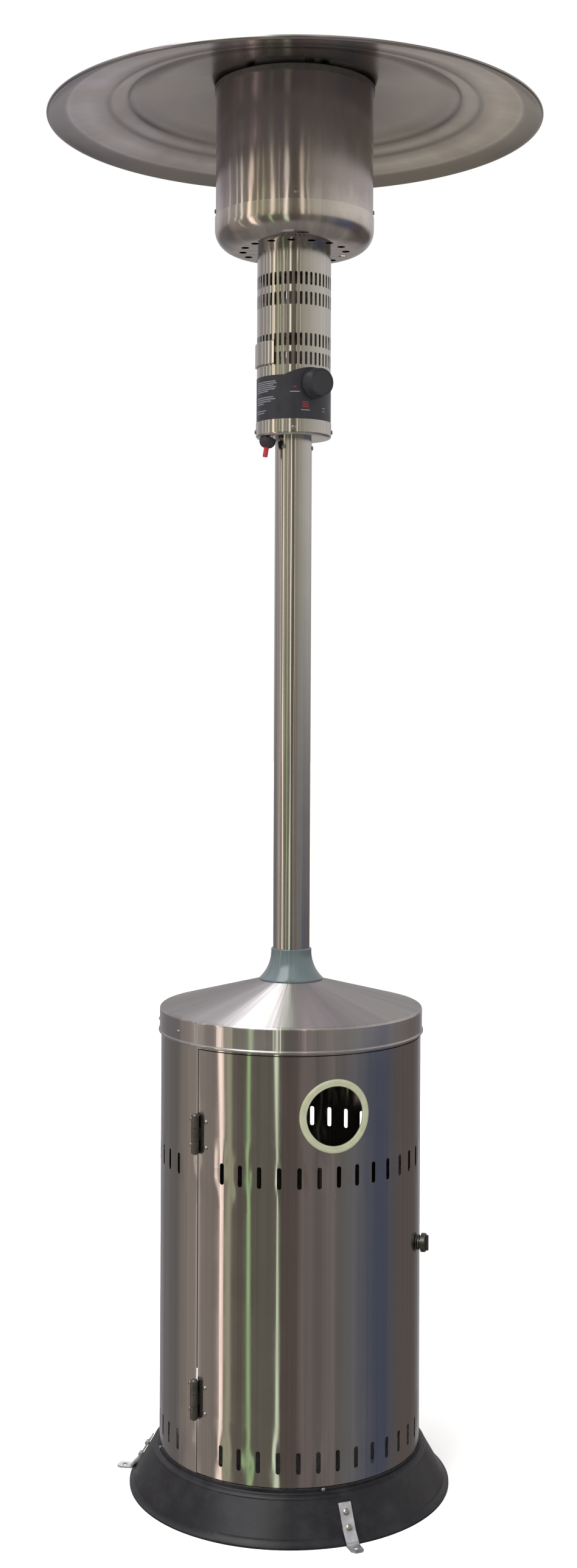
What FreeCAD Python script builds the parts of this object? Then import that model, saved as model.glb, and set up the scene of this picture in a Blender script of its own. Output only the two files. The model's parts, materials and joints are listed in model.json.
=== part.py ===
import FreeCAD, Part

import math
import os
import re

import Sketcher

# Mushroom patio heater: gas-cylinder housing with a hinged door, pole, burner head and reflector.
# Frame: millimetres, +Z up, origin on the floor at the middle of the base, door facing -Y.
# A heading is an angle about +Z counted from the door (-Y) towards +X.

SIZES = {
    "full_turn": (360, "degrees in a whole revolution"),
    "gauge": (1.0, "housing sheet thickness"),
    "pan_gauge": (1.6, "base pan sheet thickness"),
    "base_radius": (259, "outer edge of the base pan"),
    "base_height": (70, "top of the collar that holds the housing"),
    "slope_foot_radius": (249.5, "foot of the pan's slope"),
    "slope_foot_height": (12, "height of the slope's foot"),
    "shoulder_radius": (222.5, "head of the pan's slope"),
    "shoulder_height": (58, "height of the slope's head"),
    "floor_height": (61.6, "surface that the gas cylinder stands on"),
    "bracket_width": (20, "anchor strap width"),
    "bracket_gauge": (2.5, "anchor strap thickness"),
    "bracket_heading": (2.4, "first anchor strap round the base"),
    "bracket_reach": (286, "outer end of the anchor foot"),
    "strap_foot": (16.8, "where the strap starts up the pan's slope"),
    "strap_top": (52.5, "top end of the strap"),
    "strap_run": (20.9, "how far in the strap leans on its way up"),
    "low_strap_screw": (22, "height of the strap's lower screw"),
    "high_strap_screw": (41, "height of the strap's upper screw"),
    "anchor_radius": (274, "anchor holes from the axis"),
    "anchor_bore": (4, "anchor hole radius"),
    "bracket_count": (3, "anchor straps round the base"),
    "tank_radius": (211, "outside of the housing"),
    "tank_top": (767, "top edge of the housing shell"),
    "door_low": (72.5, "bottom edge of the door"),
    "door_high": (726, "top edge of the door"),
    "door_arc": (123, "degrees of housing that the door covers"),
    "opening_half_width": (186.3, "middle of the door opening to its side edge"),
    "slot_height": (33, "housing vent slot"),
    "slot_width": (7, "housing vent slot"),
    "slot_pitch": (8.4, "degrees between housing slots"),
    "door_slots": (13, "slots in one row of the door"),
    "shell_slots": (26, "slots in one row of the shell"),
    "low_slots": (109, "height of the low slot row"),
    "high_slots": (541, "height of the high slot row"),
    "porthole_height": (634, "middle of the porthole"),
    "porthole_radius": (50, "hole cut in the door"),
    "trim_outer": (56.5, "porthole trim outside"),
    "trim_inner": (45.75, "porthole trim clear opening"),
    "hinge_heading": (-61.75, "hinge line round the housing"),
    "hinge_radius": (217.5, "hinge pin from the heater's axis"),
    "hinge_length": (58, "hinge barrel length"),
    "barrel_radius": (6, "hinge barrel"),
    "pin_radius": (2, "hinge pin"),
    "knuckle_half": (9.7, "half height of the door's knuckle"),
    "leaf_gap": (0.8, "hinge line to the edge of a leaf"),
    "leaf_width": (22, "hinge line to the far edge of a leaf"),
    "web_gauge": (1.6, "thickness of the web between a knuckle and its leaf"),
    "leaf_screw_step": (20, "leaf screws above and below a hinge's middle"),
    "leaf_screw_turn": (4.4, "degrees from the hinge line to the leaf screws"),
    "running_gap": (0.05, "radial clearance of a shaft in its bore"),
    "low_hinge": (186, "middle of the lower hinge"),
    "high_hinge": (596, "middle of the upper hinge"),
    "latch_heading": (57.5, "latch round the housing"),
    "latch_height": (398, "middle of the latch"),
    "latch_shaft": (3, "latch shaft radius"),
    "latch_barrel": (6, "latch bush barrel radius"),
    "strike_arc": (7.5, "degrees that the strip behind the door's edge covers"),
    "weld_arc": (5, "degrees of that strip welded to the shell"),
    "lid_low": (730, "bottom of the lid's skirt"),
    "lid_radius": (213.5, "outside of the lid's skirt"),
    "lid_skirt": (36, "straight part of the lid's skirt"),
    "lid_shoulder": (41.3, "start of the cone above the skirt's bottom"),
    "lid_rise": (82.5, "top of the cone above the skirt's bottom"),
    "cone_top_radius": (50, "where the cone flattens"),
    "pole_radius": (30, "outside of the pole"),
    "pole_wall": (1.5, "pole tube wall"),
    "seat_height": (740, "underside of the pole's seat"),
    "seat_gauge": (3, "seat plate thickness"),
    "seat_radius": (75, "seat plate"),
    "post_radius": (9.5, "support post tube"),
    "post_circle": (187, "support posts from the axis"),
    "arm_margin": (5.5, "seat arm beyond the post on each side"),
    "bolt_circle": (47, "pole bolts from the axis"),
    "pole_top": (1692, "top end of the pole, under the burner head"),
    "collar_low": (812.8, "bottom of the pole's collar"),
    "collar_radius": (51.6, "collar at its foot"),
    "collar_neck": (33, "collar at its top"),
    "collar_height": (50, "collar height"),
    "head_radius": (60, "burner head housing"),
    "cup_depth": (25, "polished cup round the head's bottom"),
    "cup_wall": (1.4, "cup wall"),
    "head_height": (307.5, "burner head, bottom to top edge"),
    "head_slot_height": (21, "head vent slot"),
    "head_slot_width": (4.2, "head vent slot"),
    "head_slots": (44, "slots in one row of the head"),
    "cover_low": (114, "access cover above the head's bottom"),
    "cover_height": (38, "access cover, bottom to top"),
    "cover_arc": (62, "degrees of the head that the access cover takes"),
    "liner_low": (114, "heat liner above the head's bottom"),
    "liner_height": (154, "heat liner, bottom to top"),
    "liner_arc": (110, "degrees of the head that the heat liner covers"),
    "label_low": (25, "label's lower edge above the head's bottom"),
    "label_high": (96, "label's upper edge above the head's bottom"),
    "label_crown": (108.5, "label's arch over the knob"),
    "label_arch": (85, "radius of that arch"),
    "label_gauge": (0.6, "label plate thickness"),
    "label_arc": (250, "degrees of the head that the label covers"),
    "knob_heading": (13, "control knob round the head"),
    "knob_height": (82, "control knob above the head's bottom"),
    "knob_radius": (24.5, "control knob"),
    "knob_back": (65, "back of the knob from the axis"),
    "knob_depth": (21, "knob back to front"),
    "stem_radius": (4, "valve stem"),
    "igniter_heading": (-80, "igniter round the head"),
    "igniter_circle": (47, "igniter from the axis where it leaves the head"),
    "igniter_tilt": (10, "degrees that the igniter leans outwards"),
    "button_radius": (4, "igniter button"),
    "button_reach": (33, "igniter button's tip under the head"),
    "boot_reach": (17, "rubber boot's lower edge under the head"),
    "bowl_radius": (129.5, "emitter bowl"),
    "bowl_corner": (34, "rounding of the bowl's corner"),
    "bowl_height": (54, "bowl, floor to rim"),
    "bowl_low": (1997, "underside of the bowl"),
    "bowl_gauge": (1.2, "bowl and emitter sheet"),
    "bowl_holes": (16, "air holes in the bowl's floor"),
    "bowl_hole_radius": (6.5, "air hole"),
    "bowl_hole_circle": (84, "air holes from the axis"),
    "screen_radius": (128.2, "emitter screen"),
    "screen_top": (2262, "top edge of the emitter screen"),
    "burner_radius": (75, "burner drum"),
    "mixer_bore": (10, "mixing tube inside radius"),
    "rim_height": (2204, "underside of the reflector's rim"),
    "rim_radius": (398.8, "middle of the reflector's rolled edge"),
    "rim_curl": (3.2, "radius of the rolled edge"),
    "dish_rise": (66, "flat crown above the rim"),
    "dish_gauge": (1.2, "reflector sheet"),
    "stud_circle": (70, "reflector studs from the axis"),
    "stud_radius": (3, "reflector stud"),
}

# Places round the heater, as headings in degrees.
POSTS = (80, 180, 280)
FLANGE_BOLTS = (30, 150, 270)
COLLAR_SCREWS = (-4.9, 85.1, 175.1, 265.1)
SKIRT_SCREWS = (-109, -75, 75, 109, 180)
POLE_SCREWS = (-50, 70, 190)
CUP_SCREWS = (71, 161, 251, 341)
SEAM_SCREWS = (72, 162, 252, 342)
STUDS = (0, 120, 240)

# Middles of the head's slot rows above the head's bottom.
HEAD_SLOT_ROWS = ("122.5", "152.5", "218.5", "250.5")

doc = FreeCAD.newDocument("PatioHeater")
sheet = doc.addObject("Spreadsheet::Sheet", "Sheet")
nodes = []


def fill_sheet():
    for row, (alias, (value, meaning)) in enumerate(SIZES.items(), start=1):
        sheet.set(f"A{row}", meaning)
        sheet.set(f"B{row}", str(value))
        sheet.setAlias(f"B{row}", alias)
    doc.recompute()


def cell(word):
    """The sheet's name for a matched alias; any other word stays as it is."""
    return f"Sheet.{word.group()}" if word.group() in SIZES else word.group()


def bound(text):
    """An expression on the sheet's cells, from one written with bare aliases."""
    return re.sub(r"[a-z_]{3,}", cell, str(text))


def size(text):
    return float(sheet.evalExpression(bound(text)))


def heading(degrees, radius=1.0):
    """The point at this heading and distance from the heater's axis."""
    angle = math.radians(degrees)
    return FreeCAD.Vector(radius * math.sin(angle), -radius * math.cos(angle), 0)


# ---------------------------------------------------------------- PartDesign helpers

def place(item, height="0", turn="0"):
    item.Placement = FreeCAD.Placement(FreeCAD.Vector(), FreeCAD.Rotation(FreeCAD.Vector(0, 0, 1), 1))
    item.setExpression("Placement.Base.z", bound(height))
    item.setExpression("Placement.Rotation.Angle", bound(turn))


def new_body(label, height="0", turn="0"):
    body = doc.addObject("PartDesign::Body", label)
    body.Label = label
    place(body, height, turn)
    nodes.append(body)
    return body


def origin_feature(body, role):
    return next(feature for feature in body.Origin.OriginFeatures if feature.Role == role)


def new_sketch(body, plane, turn="0", out="0"):
    """A sketch on an origin plane, turned about the body's Z axis and moved out along its own normal."""
    sketch = body.newObject("Sketcher::SketchObject", f"{body.Name}_sketch")
    sketch.AttachmentSupport = (origin_feature(body, plane), [""])
    sketch.MapMode = "FlatFace"
    if (turn, out) != ("0", "0"):
        upright = FreeCAD.Vector(0, 1, 0)
        sketch.AttachmentOffset = FreeCAD.Placement(FreeCAD.Vector(), FreeCAD.Rotation(upright, 1))
        sketch.setExpression("AttachmentOffset.Rotation.Angle", bound(turn))
        sketch.setExpression("AttachmentOffset.Base.x", bound(f"({out}) * sin(({turn}) * 1 deg)"))
        sketch.setExpression("AttachmentOffset.Base.z", bound(f"({out}) * cos(({turn}) * 1 deg)"))
    return sketch


def hold(sketch, edge, end, across, up):
    """Ties one end of an edge to its place; a plain zero puts it on the sketch's axis."""
    for kind, axis, text in (("DistanceX", -2, across), ("DistanceY", -1, up)):
        if str(text) == "0":
            sketch.addConstraint(Sketcher.Constraint("PointOnObject", edge, end, axis))
        else:
            row = sketch.addConstraint(Sketcher.Constraint(kind, -1, 1, edge, end, size(text)))
            sketch.setExpression(f"Constraints[{row}]", bound(text))


def arc_between(start, end, radius):
    """Minor arc from start to end; a positive radius turns left. Also says whether it runs clockwise."""
    chord = end - start
    left = FreeCAD.Vector(-chord.y, chord.x, 0).normalize()
    offset = math.sqrt(max(radius * radius - chord.Length ** 2 / 4, 0))
    centre = (start + end) * 0.5 + left * math.copysign(offset, radius)
    angles = [math.atan2(point.y - centre.y, point.x - centre.x) for point in (start, end)]
    clockwise = radius < 0
    if clockwise:
        angles.reverse()
    circle = Part.Circle(centre, FreeCAD.Vector(0, 0, 1), abs(radius))
    return Part.ArcOfCircle(circle, *angles), clockwise


def outline(body, plane, corners, turn="0"):
    """A closed outline through corners (across, up). A third value is the radius of the arc that
    arrives there, positive where the outline turns left."""
    sketch = new_sketch(body, plane, turn)
    points = [FreeCAD.Vector(size(corner[0]), size(corner[1]), 0) for corner in corners]
    ends = []
    for index, corner in enumerate(corners):
        start, end = points[index - 1], points[index]
        clockwise = False
        if len(corner) == 3:
            edge, clockwise = arc_between(start, end, size(corner[2]))
        else:
            edge = Part.LineSegment(start, end)
        sketch.addGeometry(edge, False)
        ends.append((2, 1) if clockwise else (1, 2))
    for index, corner in enumerate(corners):
        before = (index - 1) % len(corners)
        meeting = Sketcher.Constraint("Coincident", before, ends[before][1], index, ends[index][0])
        sketch.addConstraint(meeting)
        hold(sketch, index, ends[index][1], corner[0], corner[1])
        if len(corner) == 3:
            row = sketch.addConstraint(Sketcher.Constraint("Radius", index, abs(size(corner[2]))))
            sketch.setExpression(f"Constraints[{row}]", bound(corner[2].lstrip("-")))
    return sketch


def circle(body, plane, across, up, radius, turn="0", out="0"):
    sketch = new_sketch(body, plane, turn, out)
    centre = FreeCAD.Vector(size(across), size(up), 0)
    sketch.addGeometry(Part.Circle(centre, FreeCAD.Vector(0, 0, 1), size(radius)), False)
    hold(sketch, 0, 3, across, up)
    row = sketch.addConstraint(Sketcher.Constraint("Radius", 0, size(radius)))
    sketch.setExpression(f"Constraints[{row}]", bound(radius))
    return sketch


def upright_slots(body, plane, middles, height, width, turn="0", out="0"):
    """Round-ended slots standing one above another, at the given middle heights."""
    sketch = new_sketch(body, plane, turn, out)
    half = size(width) / 2
    straight = size(height) / 2 - half
    normal = FreeCAD.Vector(0, 0, 1)
    for number, middle in enumerate(middles):
        first = 4 * number
        low, high = size(middle) - straight, size(middle) + straight
        low_end = Part.Circle(FreeCAD.Vector(0, low, 0), normal, half)
        high_end = Part.Circle(FreeCAD.Vector(0, high, 0), normal, half)
        for edge in (
            Part.LineSegment(FreeCAD.Vector(half, low, 0), FreeCAD.Vector(half, high, 0)),
            Part.ArcOfCircle(high_end, 0, math.pi),
            Part.LineSegment(FreeCAD.Vector(-half, high, 0), FreeCAD.Vector(-half, low, 0)),
            Part.ArcOfCircle(low_end, math.pi, 2 * math.pi),
        ):
            sketch.addGeometry(edge, False)
        for edge in range(4):
            following = first + (edge + 1) % 4
            sketch.addConstraint(Sketcher.Constraint("Tangent", first + edge, 2, following, 1))
        for arc, sign in ((first + 1, "+"), (first + 3, "-")):
            hold(sketch, arc, 3, "0", f"{middle} {sign} ({height} - {width}) / 2")
        row = sketch.addConstraint(Sketcher.Constraint("Radius", first + 1, half))
        sketch.setExpression(f"Constraints[{row}]", bound(f"{width} / 2"))
    return sketch


def feature(body, kind, sketch, **settings):
    made = body.newObject(f"PartDesign::{kind}", f"{body.Name}_{kind}")
    made.Profile = sketch
    for name, value in settings.items():
        setattr(made, name, value)
    body.Tip = made
    return made


def revolve(body, corners, angle="full_turn", midplane=False, backwards=False):
    sketch = outline(body, "XZ_Plane", corners)
    made = feature(body, "Revolution", sketch, ReferenceAxis=(sketch, ["V_Axis"]))
    made.Midplane = midplane
    made.Reversed = backwards
    made.setExpression("Angle", bound(angle))
    return made


def pad(body, sketch, length, midplane=False, backwards=False):
    made = feature(body, "Pad", sketch, Reversed=backwards)
    made.SideType = "Symmetric" if midplane else "One side"
    made.setExpression("Length", bound(length))
    return made


def cut(body, sketch, length=None, backwards=False, midplane=False):
    """A pocket from the sketch's plane: against its normal, or along it when backwards."""
    made = feature(body, "Pocket", sketch, Reversed=backwards)
    made.SideType = "Symmetric" if midplane else "One side"
    if length is None:
        made.Type = "ThroughAll"
    else:
        made.setExpression("Length", bound(length))
    return made


def round_pattern(body, original, count, angle="full_turn"):
    made = body.newObject("PartDesign::PolarPattern", f"{body.Name}_pattern")
    made.Originals = [original]
    made.Axis = (origin_feature(body, "Z_Axis"), [""])
    made.setExpression("Angle", bound(angle))
    made.setExpression("Occurrences", bound(count))
    body.Tip = made
    return made


def ring(label, inner, outer, low, high, height="0", turn="0"):
    """A plain turned ring or disc."""
    body = new_body(label, height, turn)
    revolve(body, [(inner, low), (outer, low), (outer, high), (inner, high)])
    return body


def rectangle(body, plane, left, right, low, high, turn="0"):
    return outline(body, plane, [(left, low), (right, low), (right, high), (left, high)], turn)


# ---------------------------------------------------------------- Part helpers

def part(kind, label, **sizes):
    """A Part primitive with its sizes tied to the sheet."""
    item = doc.addObject(f"Part::{kind}", label)
    for name, text in sizes.items():
        item.setExpression(name, bound(text))
    return item


def outward(height, out="0"):
    """Placement that stands a primitive's Z axis along -Y at this height, starting this far out."""
    lie = FreeCAD.Rotation(FreeCAD.Vector(1, 0, 0), 90)
    return FreeCAD.Placement(FreeCAD.Vector(0, -size(out), size(height)), lie)


def rod(label, radius, start, end, height):
    """A cylinder lying along -Y between two distances from the axis."""
    item = part("Cylinder", label, Radius=radius, Height=f"{end} - ({start})")
    item.Placement = outward(height, start)
    item.setExpression("Placement.Base.y", bound(f"0 - ({start})"))
    item.setExpression("Placement.Base.z", bound(height))
    return item


def box(label, left, right, near, far, low, high):
    """A box between two sides, two distances out along -Y and two heights."""
    spans = {"Length": f"{right} - ({left})", "Width": f"{far} - ({near})", "Height": f"{high} - ({low})"}
    item = part("Box", label, **spans)
    item.setExpression("Placement.Base.x", bound(left))
    item.setExpression("Placement.Base.y", bound(f"0 - ({far})"))
    item.setExpression("Placement.Base.z", bound(low))
    return item


def tube(label, inner, outer, low, high):
    """An upright tube round the heater's axis."""
    outside = part("Cylinder", f"{label}_outside", Radius=outer, Height=f"{high} - ({low})")
    inside = part("Cylinder", f"{label}_inside", Radius=inner, Height=f"{high} - ({low})")
    for item in (outside, inside):
        item.setExpression("Placement.Base.z", bound(low))
    return subtract(label, outside, inside)


def subtract(label, base, tool):
    item = doc.addObject("Part::Cut", label)
    item.Base, item.Tool = base, tool
    return item


def overlap(label, base, tool):
    item = doc.addObject("Part::Common", label)
    item.Base, item.Tool = base, tool
    return item


def join(label, pieces):
    item = doc.addObject("Part::MultiFuse", label)
    item.Shapes = pieces
    return item


def finish_part(item, label, height="0", turn="0"):
    """Names a Part object as a sub-part and gives it its place."""
    item.Label = label
    place(item, height, turn)
    nodes.append(item)
    return item


def fasteners(label, head_radius, head_height, shank_radius, shank_length, seats):
    """Identical pan-head screws. Each seat is the point under the head and the way the head faces."""
    pieces = []
    rim = head_height * 0.45
    dome = [
        FreeCAD.Vector(0, 0, -shank_length),
        FreeCAD.Vector(shank_radius, 0, -shank_length),
        FreeCAD.Vector(shank_radius, 0, 0),
        FreeCAD.Vector(head_radius, 0, 0),
        FreeCAD.Vector(head_radius, 0, rim),
    ]
    crown = FreeCAD.Vector(0, 0, head_height)
    shoulder = FreeCAD.Vector(head_radius * 0.72, 0, head_height * 0.86)
    edges = [Part.makeLine(a, b) for a, b in zip(dome, dome[1:])]
    edges.append(Part.Arc(dome[-1], shoulder, crown).toShape())
    edges.append(Part.makeLine(crown, dome[0]))
    section = Part.Face(Part.Wire(edges))
    screw = section.revolve(FreeCAD.Vector(), FreeCAD.Vector(0, 0, 1), 360)
    socket = Part.makeBox(head_radius * 1.1, head_radius * 0.24, head_height)
    socket.translate(FreeCAD.Vector(-head_radius * 0.55, -head_radius * 0.12, head_height * 0.55))
    crossed = socket.copy()
    crossed.rotate(FreeCAD.Vector(), FreeCAD.Vector(0, 0, 1), 90)
    screw = screw.cut([socket, crossed])
    for point, facing in seats:
        piece = screw.copy()
        piece.Placement = FreeCAD.Placement(point, FreeCAD.Rotation(FreeCAD.Vector(0, 0, 1), facing))
        pieces.append(piece)
    group = doc.addObject("Part::Feature", label)
    group.Shape = Part.makeCompound(pieces)
    group.Label = label
    group.Placement = FreeCAD.Placement()
    nodes.append(group)
    return group


def round_seats(headings, radius, height):
    """Seats for screws that face straight out of a round wall."""
    return [(heading(at, radius) + FreeCAD.Vector(0, 0, height), heading(at)) for at in headings]


# ---------------------------------------------------------------- base

def build_base_pan():
    body = new_body("base_pan")
    revolve(body, [
        ("base_radius - pan_gauge", "0"),
        ("base_radius", "0"),
        ("base_radius", "3"),
        ("slope_foot_radius", "slope_foot_height", "-14"),
        ("shoulder_radius", "shoulder_height"),
        ("shoulder_radius - 4", "shoulder_height + 4.4", "5"),
        ("tank_radius + 4.5", "shoulder_height + 5.4"),
        ("tank_radius + 2", "base_height - 4", "-2.6"),
        ("tank_radius + 2", "base_height"),
        ("tank_radius + 0.3", "base_height"),
        ("tank_radius + 0.3", "floor_height"),
        ("shoulder_radius - 4.5", "shoulder_height + 2.5"),
        ("shoulder_radius - pan_gauge - 0.2", "shoulder_height - 1"),
        ("slope_foot_radius - pan_gauge", "slope_foot_height - 1"),
        ("base_radius - pan_gauge", "2"),
    ])


def build_floor_plate():
    body = new_body("floor_plate", "floor_height - pan_gauge")
    revolve(body, [
        ("0", "0"),
        ("146.5", "0"),
        ("149", "4.4"),
        ("157", "4.4"),
        ("159.5", "0"),
        ("tank_radius + 0.3", "0"),
        ("tank_radius + 0.3", "pan_gauge"),
        ("160.5", "pan_gauge"),
        ("158", "4.4 + pan_gauge"),
        ("148", "4.4 + pan_gauge"),
        ("145.5", "pan_gauge"),
        ("0", "pan_gauge"),
    ])


def build_anchor_brackets():
    for number in range(int(size("bracket_count"))):
        turn = f"bracket_heading + {number} * full_turn / bracket_count - 90"
        body = new_body(f"anchor_bracket_{number + 1}", "0", turn)
        section = outline(body, "XZ_Plane", [
            ("base_radius + 0.6", "0"),
            ("bracket_reach", "0"),
            ("bracket_reach", "bracket_gauge"),
            ("base_radius + 6", "bracket_gauge"),
            ("base_radius + 3", "5.5", "-3.2"),
            ("slope_foot_radius + 1.2", "strap_foot"),
            ("slope_foot_radius + 1.2 - strap_run", "strap_top"),
            ("slope_foot_radius - 1.4 - strap_run", "strap_top - 1", "1.8"),
            ("slope_foot_radius - 1.2", "strap_foot - 1.2"),
            ("base_radius + 0.6", "4"),
        ])
        pad(body, section, "bracket_width", midplane=True)
        hole = circle(body, "XY_Plane", "anchor_radius", "0", "anchor_bore")
        cut(body, hole, "bracket_gauge + 1", backwards=True)
        for side in ("", "-"):
            corner = outline(body, "XY_Plane", [
                ("bracket_reach + 2", f"{side}(bracket_width / 2 + 2)"),
                ("bracket_reach + 2", f"{side}(bracket_width / 2 - 6)"),
                ("bracket_reach - 8", f"{side}(bracket_width / 2 + 2)"),
            ])
            cut(body, corner, "bracket_gauge + 1", backwards=True)


def build_bracket_screws():
    up = FreeCAD.Vector(0, 0, 1)
    slope = math.atan2(size("strap_top - strap_foot"), size("strap_run"))
    seats = []
    for number in range(int(size("bracket_count"))):
        out = heading(size("bracket_heading") + number * 360 / size("bracket_count"))
        facing = out * math.sin(slope) + up * math.cos(slope)
        for height in ("low_strap_screw", "high_strap_screw"):
            along = f"({height} - strap_foot) / (strap_top - strap_foot)"
            radius = size(f"slope_foot_radius + 1.2 - strap_run * {along}")
            seats.append((out * radius + up * size(height), facing))
    fasteners("bracket_screws", 5, 3, 2.4, 9, seats)


# ---------------------------------------------------------------- cylinder housing

def notch_span(middle):
    """Lower and upper edge of the notch that a hinge passes through."""
    return f"{middle} - hinge_length / 2 - 1", f"{middle} + hinge_length / 2 + 1"


def build_housing_shell():
    body = new_body("housing_shell", "floor_height")
    revolve(body, [
        ("tank_radius - gauge", "0"),
        ("tank_radius", "0"),
        ("tank_radius", "tank_top - floor_height"),
        ("tank_radius - gauge", "tank_top - floor_height"),
    ])
    opening = rectangle(
        body, "XZ_Plane", "-opening_half_width", "opening_half_width",
        "base_height + 1 - floor_height", "door_high + 1.5 - floor_height",
    )
    cut(body, opening, backwards=True)
    sides = ("-opening_half_width - 2.2", "-opening_half_width + 4")
    for middle in ("low_hinge", "high_hinge"):
        notch = rectangle(body, "XZ_Plane", *sides, *notch_span(f"{middle} - floor_height"))
        cut(body, notch, backwards=True)
    rows = ["low_slots - floor_height", "high_slots - floor_height"]
    slots = upright_slots(body, "YZ_Plane", rows, "slot_height", "slot_width", "-15", "tank_radius - 4")
    first = cut(body, slots, "8", backwards=True)
    round_pattern(body, first, "shell_slots", "(shell_slots - 1) * slot_pitch")


def build_latch_strike():
    """Strip behind the shell's edge that the door closes against, joggled out to the shell for its welds."""
    body = new_body("latch_strike", "base_height + 3", "-22")
    tall = "door_high - base_height - 6"
    revolve(body, [
        ("tank_radius - 2.4", "0"),
        ("tank_radius - 1.4", "0"),
        ("tank_radius - 1.4", tall),
        ("tank_radius - 2.4", tall),
    ], "strike_arc", backwards=True)
    revolve(body, [
        ("tank_radius - 1.8", "0"),
        ("tank_radius - gauge", "0"),
        ("tank_radius - gauge", tall),
        ("tank_radius - 1.8", tall),
    ], "weld_arc", backwards=True)


def build_support_posts():
    for number, at in enumerate(POSTS, start=1):
        body = new_body(f"support_post_{number}", "floor_height", str(at))
        tall = "seat_height - floor_height"
        outside = circle(body, "XY_Plane", "0", "-post_circle", "post_radius")
        pad(body, outside, tall)
        inside = circle(body, "XY_Plane", "0", "-post_circle", "post_radius - pole_wall")
        cut(body, inside, tall, backwards=True)


def build_pole_seat():
    """Three-armed plate on the posts, which carries the pole."""
    disc = part("Cylinder", "seat_disc", Radius="seat_radius", Height="seat_gauge")
    arms = []
    half = "post_radius + arm_margin"
    for at in POSTS:
        spans = {"Length": "post_circle + post_radius + 3", "Width": f"2 * ({half})", "Height": "seat_gauge"}
        arm = part("Box", f"seat_arm_{at}", **spans)
        turn = FreeCAD.Rotation(FreeCAD.Vector(0, 0, 1), at - 90)
        arm.Placement = FreeCAD.Placement(turn.multVec(FreeCAD.Vector(0, -size(half), 0)), turn)
        arms.append(arm)
    hose_hole = part("Cylinder", "seat_hose_hole", Radius="pole_radius - 12", Height="seat_gauge")
    seat = subtract("pole_seat", join("seat_blank", [disc] + arms), hose_hole)
    finish_part(seat, "pole_seat", "seat_height")


def build_seat_bolts():
    seats = []
    up = FreeCAD.Vector(0, 0, 1)
    for at in POSTS:
        seats.append((heading(at, size("post_circle")) + up * size("seat_height + seat_gauge"), up))
    for at in FLANGE_BOLTS:
        seats.append((heading(at, size("bolt_circle")) + up * size("seat_height + seat_gauge + 4"), up))
    fasteners("seat_bolts", 6.5, 4.5, 4, 16, seats)


def build_pole():
    """Pole tube with its foot flange welded on."""
    body = new_body("pole", "seat_height + seat_gauge")
    tall = "pole_top - seat_height - seat_gauge"
    revolve(body, [
        ("pole_radius - pole_wall", "0"),
        ("pole_radius + 32", "0"),
        ("pole_radius + 32", "4"),
        ("pole_radius + 3", "4"),
        ("pole_radius", "7", "-3.2"),
        ("pole_radius", tall),
        ("pole_radius - pole_wall", tall),
    ])


def build_lid():
    body = new_body("lid_cone", "lid_low")
    revolve(body, [
        ("lid_radius - 1.2", "0"),
        ("lid_radius", "0"),
        ("lid_radius", "5", "2.6"),
        ("lid_radius", "lid_skirt"),
        ("lid_radius - 4.5", "lid_shoulder", "5.5"),
        ("cone_top_radius", "lid_rise"),
        ("pole_radius + 1", "lid_rise + 1"),
        ("pole_radius + 1", "lid_rise - 0.3"),
        ("cone_top_radius", "lid_rise - 1.3"),
        ("lid_radius - 4.8", "lid_shoulder - 1.3"),
        ("lid_radius - 1.2", "lid_skirt - 0.4", "-4.2"),
    ])


def build_collar():
    body = new_body("collar", "collar_low")
    revolve(body, [
        ("collar_radius - 5.6", "0"),
        ("collar_radius", "0"),
        ("collar_radius", "2"),
        ("collar_neck", "collar_height - 3", "-60"),
        ("collar_neck", "collar_height - 0.8"),
        ("collar_neck - 0.8", "collar_height", "0.9"),
        ("pole_radius + 0.3", "collar_height"),
        ("pole_radius + 0.3", "18"),
    ])


def leaf_seats(turn):
    """Seats of both hinges' screws on one side of the hinge line."""
    seats = []
    for middle in ("low_hinge", "high_hinge"):
        for sign in ("-", "+"):
            height = size(f"{middle} {sign} leaf_screw_step")
            seats += round_seats((size(turn),), size("tank_radius"), height)
    return seats


def build_housing_screws():
    """Pan-head screws of the base collar, the lid's skirt and the hinges' fixed leaves."""
    seats = round_seats(COLLAR_SCREWS, size("tank_radius + 2"), size("base_height - 1.8"))
    seats += round_seats(SKIRT_SCREWS, size("lid_radius"), size("lid_low + 17"))
    seats += leaf_seats("hinge_heading - leaf_screw_turn")
    fasteners("housing_screws", 3.2, 1.8, 1.5, 4.2, seats)


# ---------------------------------------------------------------- door

def build_door_panel():
    body = new_body("door_panel", "door_low", "-90")
    revolve(body, [
        ("tank_radius - gauge", "0"),
        ("tank_radius", "0"),
        ("tank_radius", "door_high - door_low"),
        ("tank_radius - gauge", "door_high - door_low"),
    ], "door_arc", midplane=True)
    rows = ["low_slots - door_low", "high_slots - door_low"]
    slots = upright_slots(body, "YZ_Plane", rows, "slot_height", "slot_width", "-48.9", "tank_radius - 4")
    first = cut(body, slots, "8", backwards=True)
    round_pattern(body, first, "door_slots", "(door_slots - 1) * slot_pitch")
    cut(body, circle(body, "YZ_Plane", "0", "porthole_height - door_low", "porthole_radius"), backwards=True)
    latch_hole = circle(body, "YZ_Plane", "0", "latch_height - door_low", "latch_barrel", "latch_heading")
    cut(body, latch_hole, backwards=True)
    sides = ("-opening_half_width - 3.7", "-opening_half_width + 3.5")
    for middle in ("low_hinge", "high_hinge"):
        notch = rectangle(body, "YZ_Plane", *sides, *notch_span(f"{middle} - door_low"))
        cut(body, notch, backwards=True)


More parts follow.
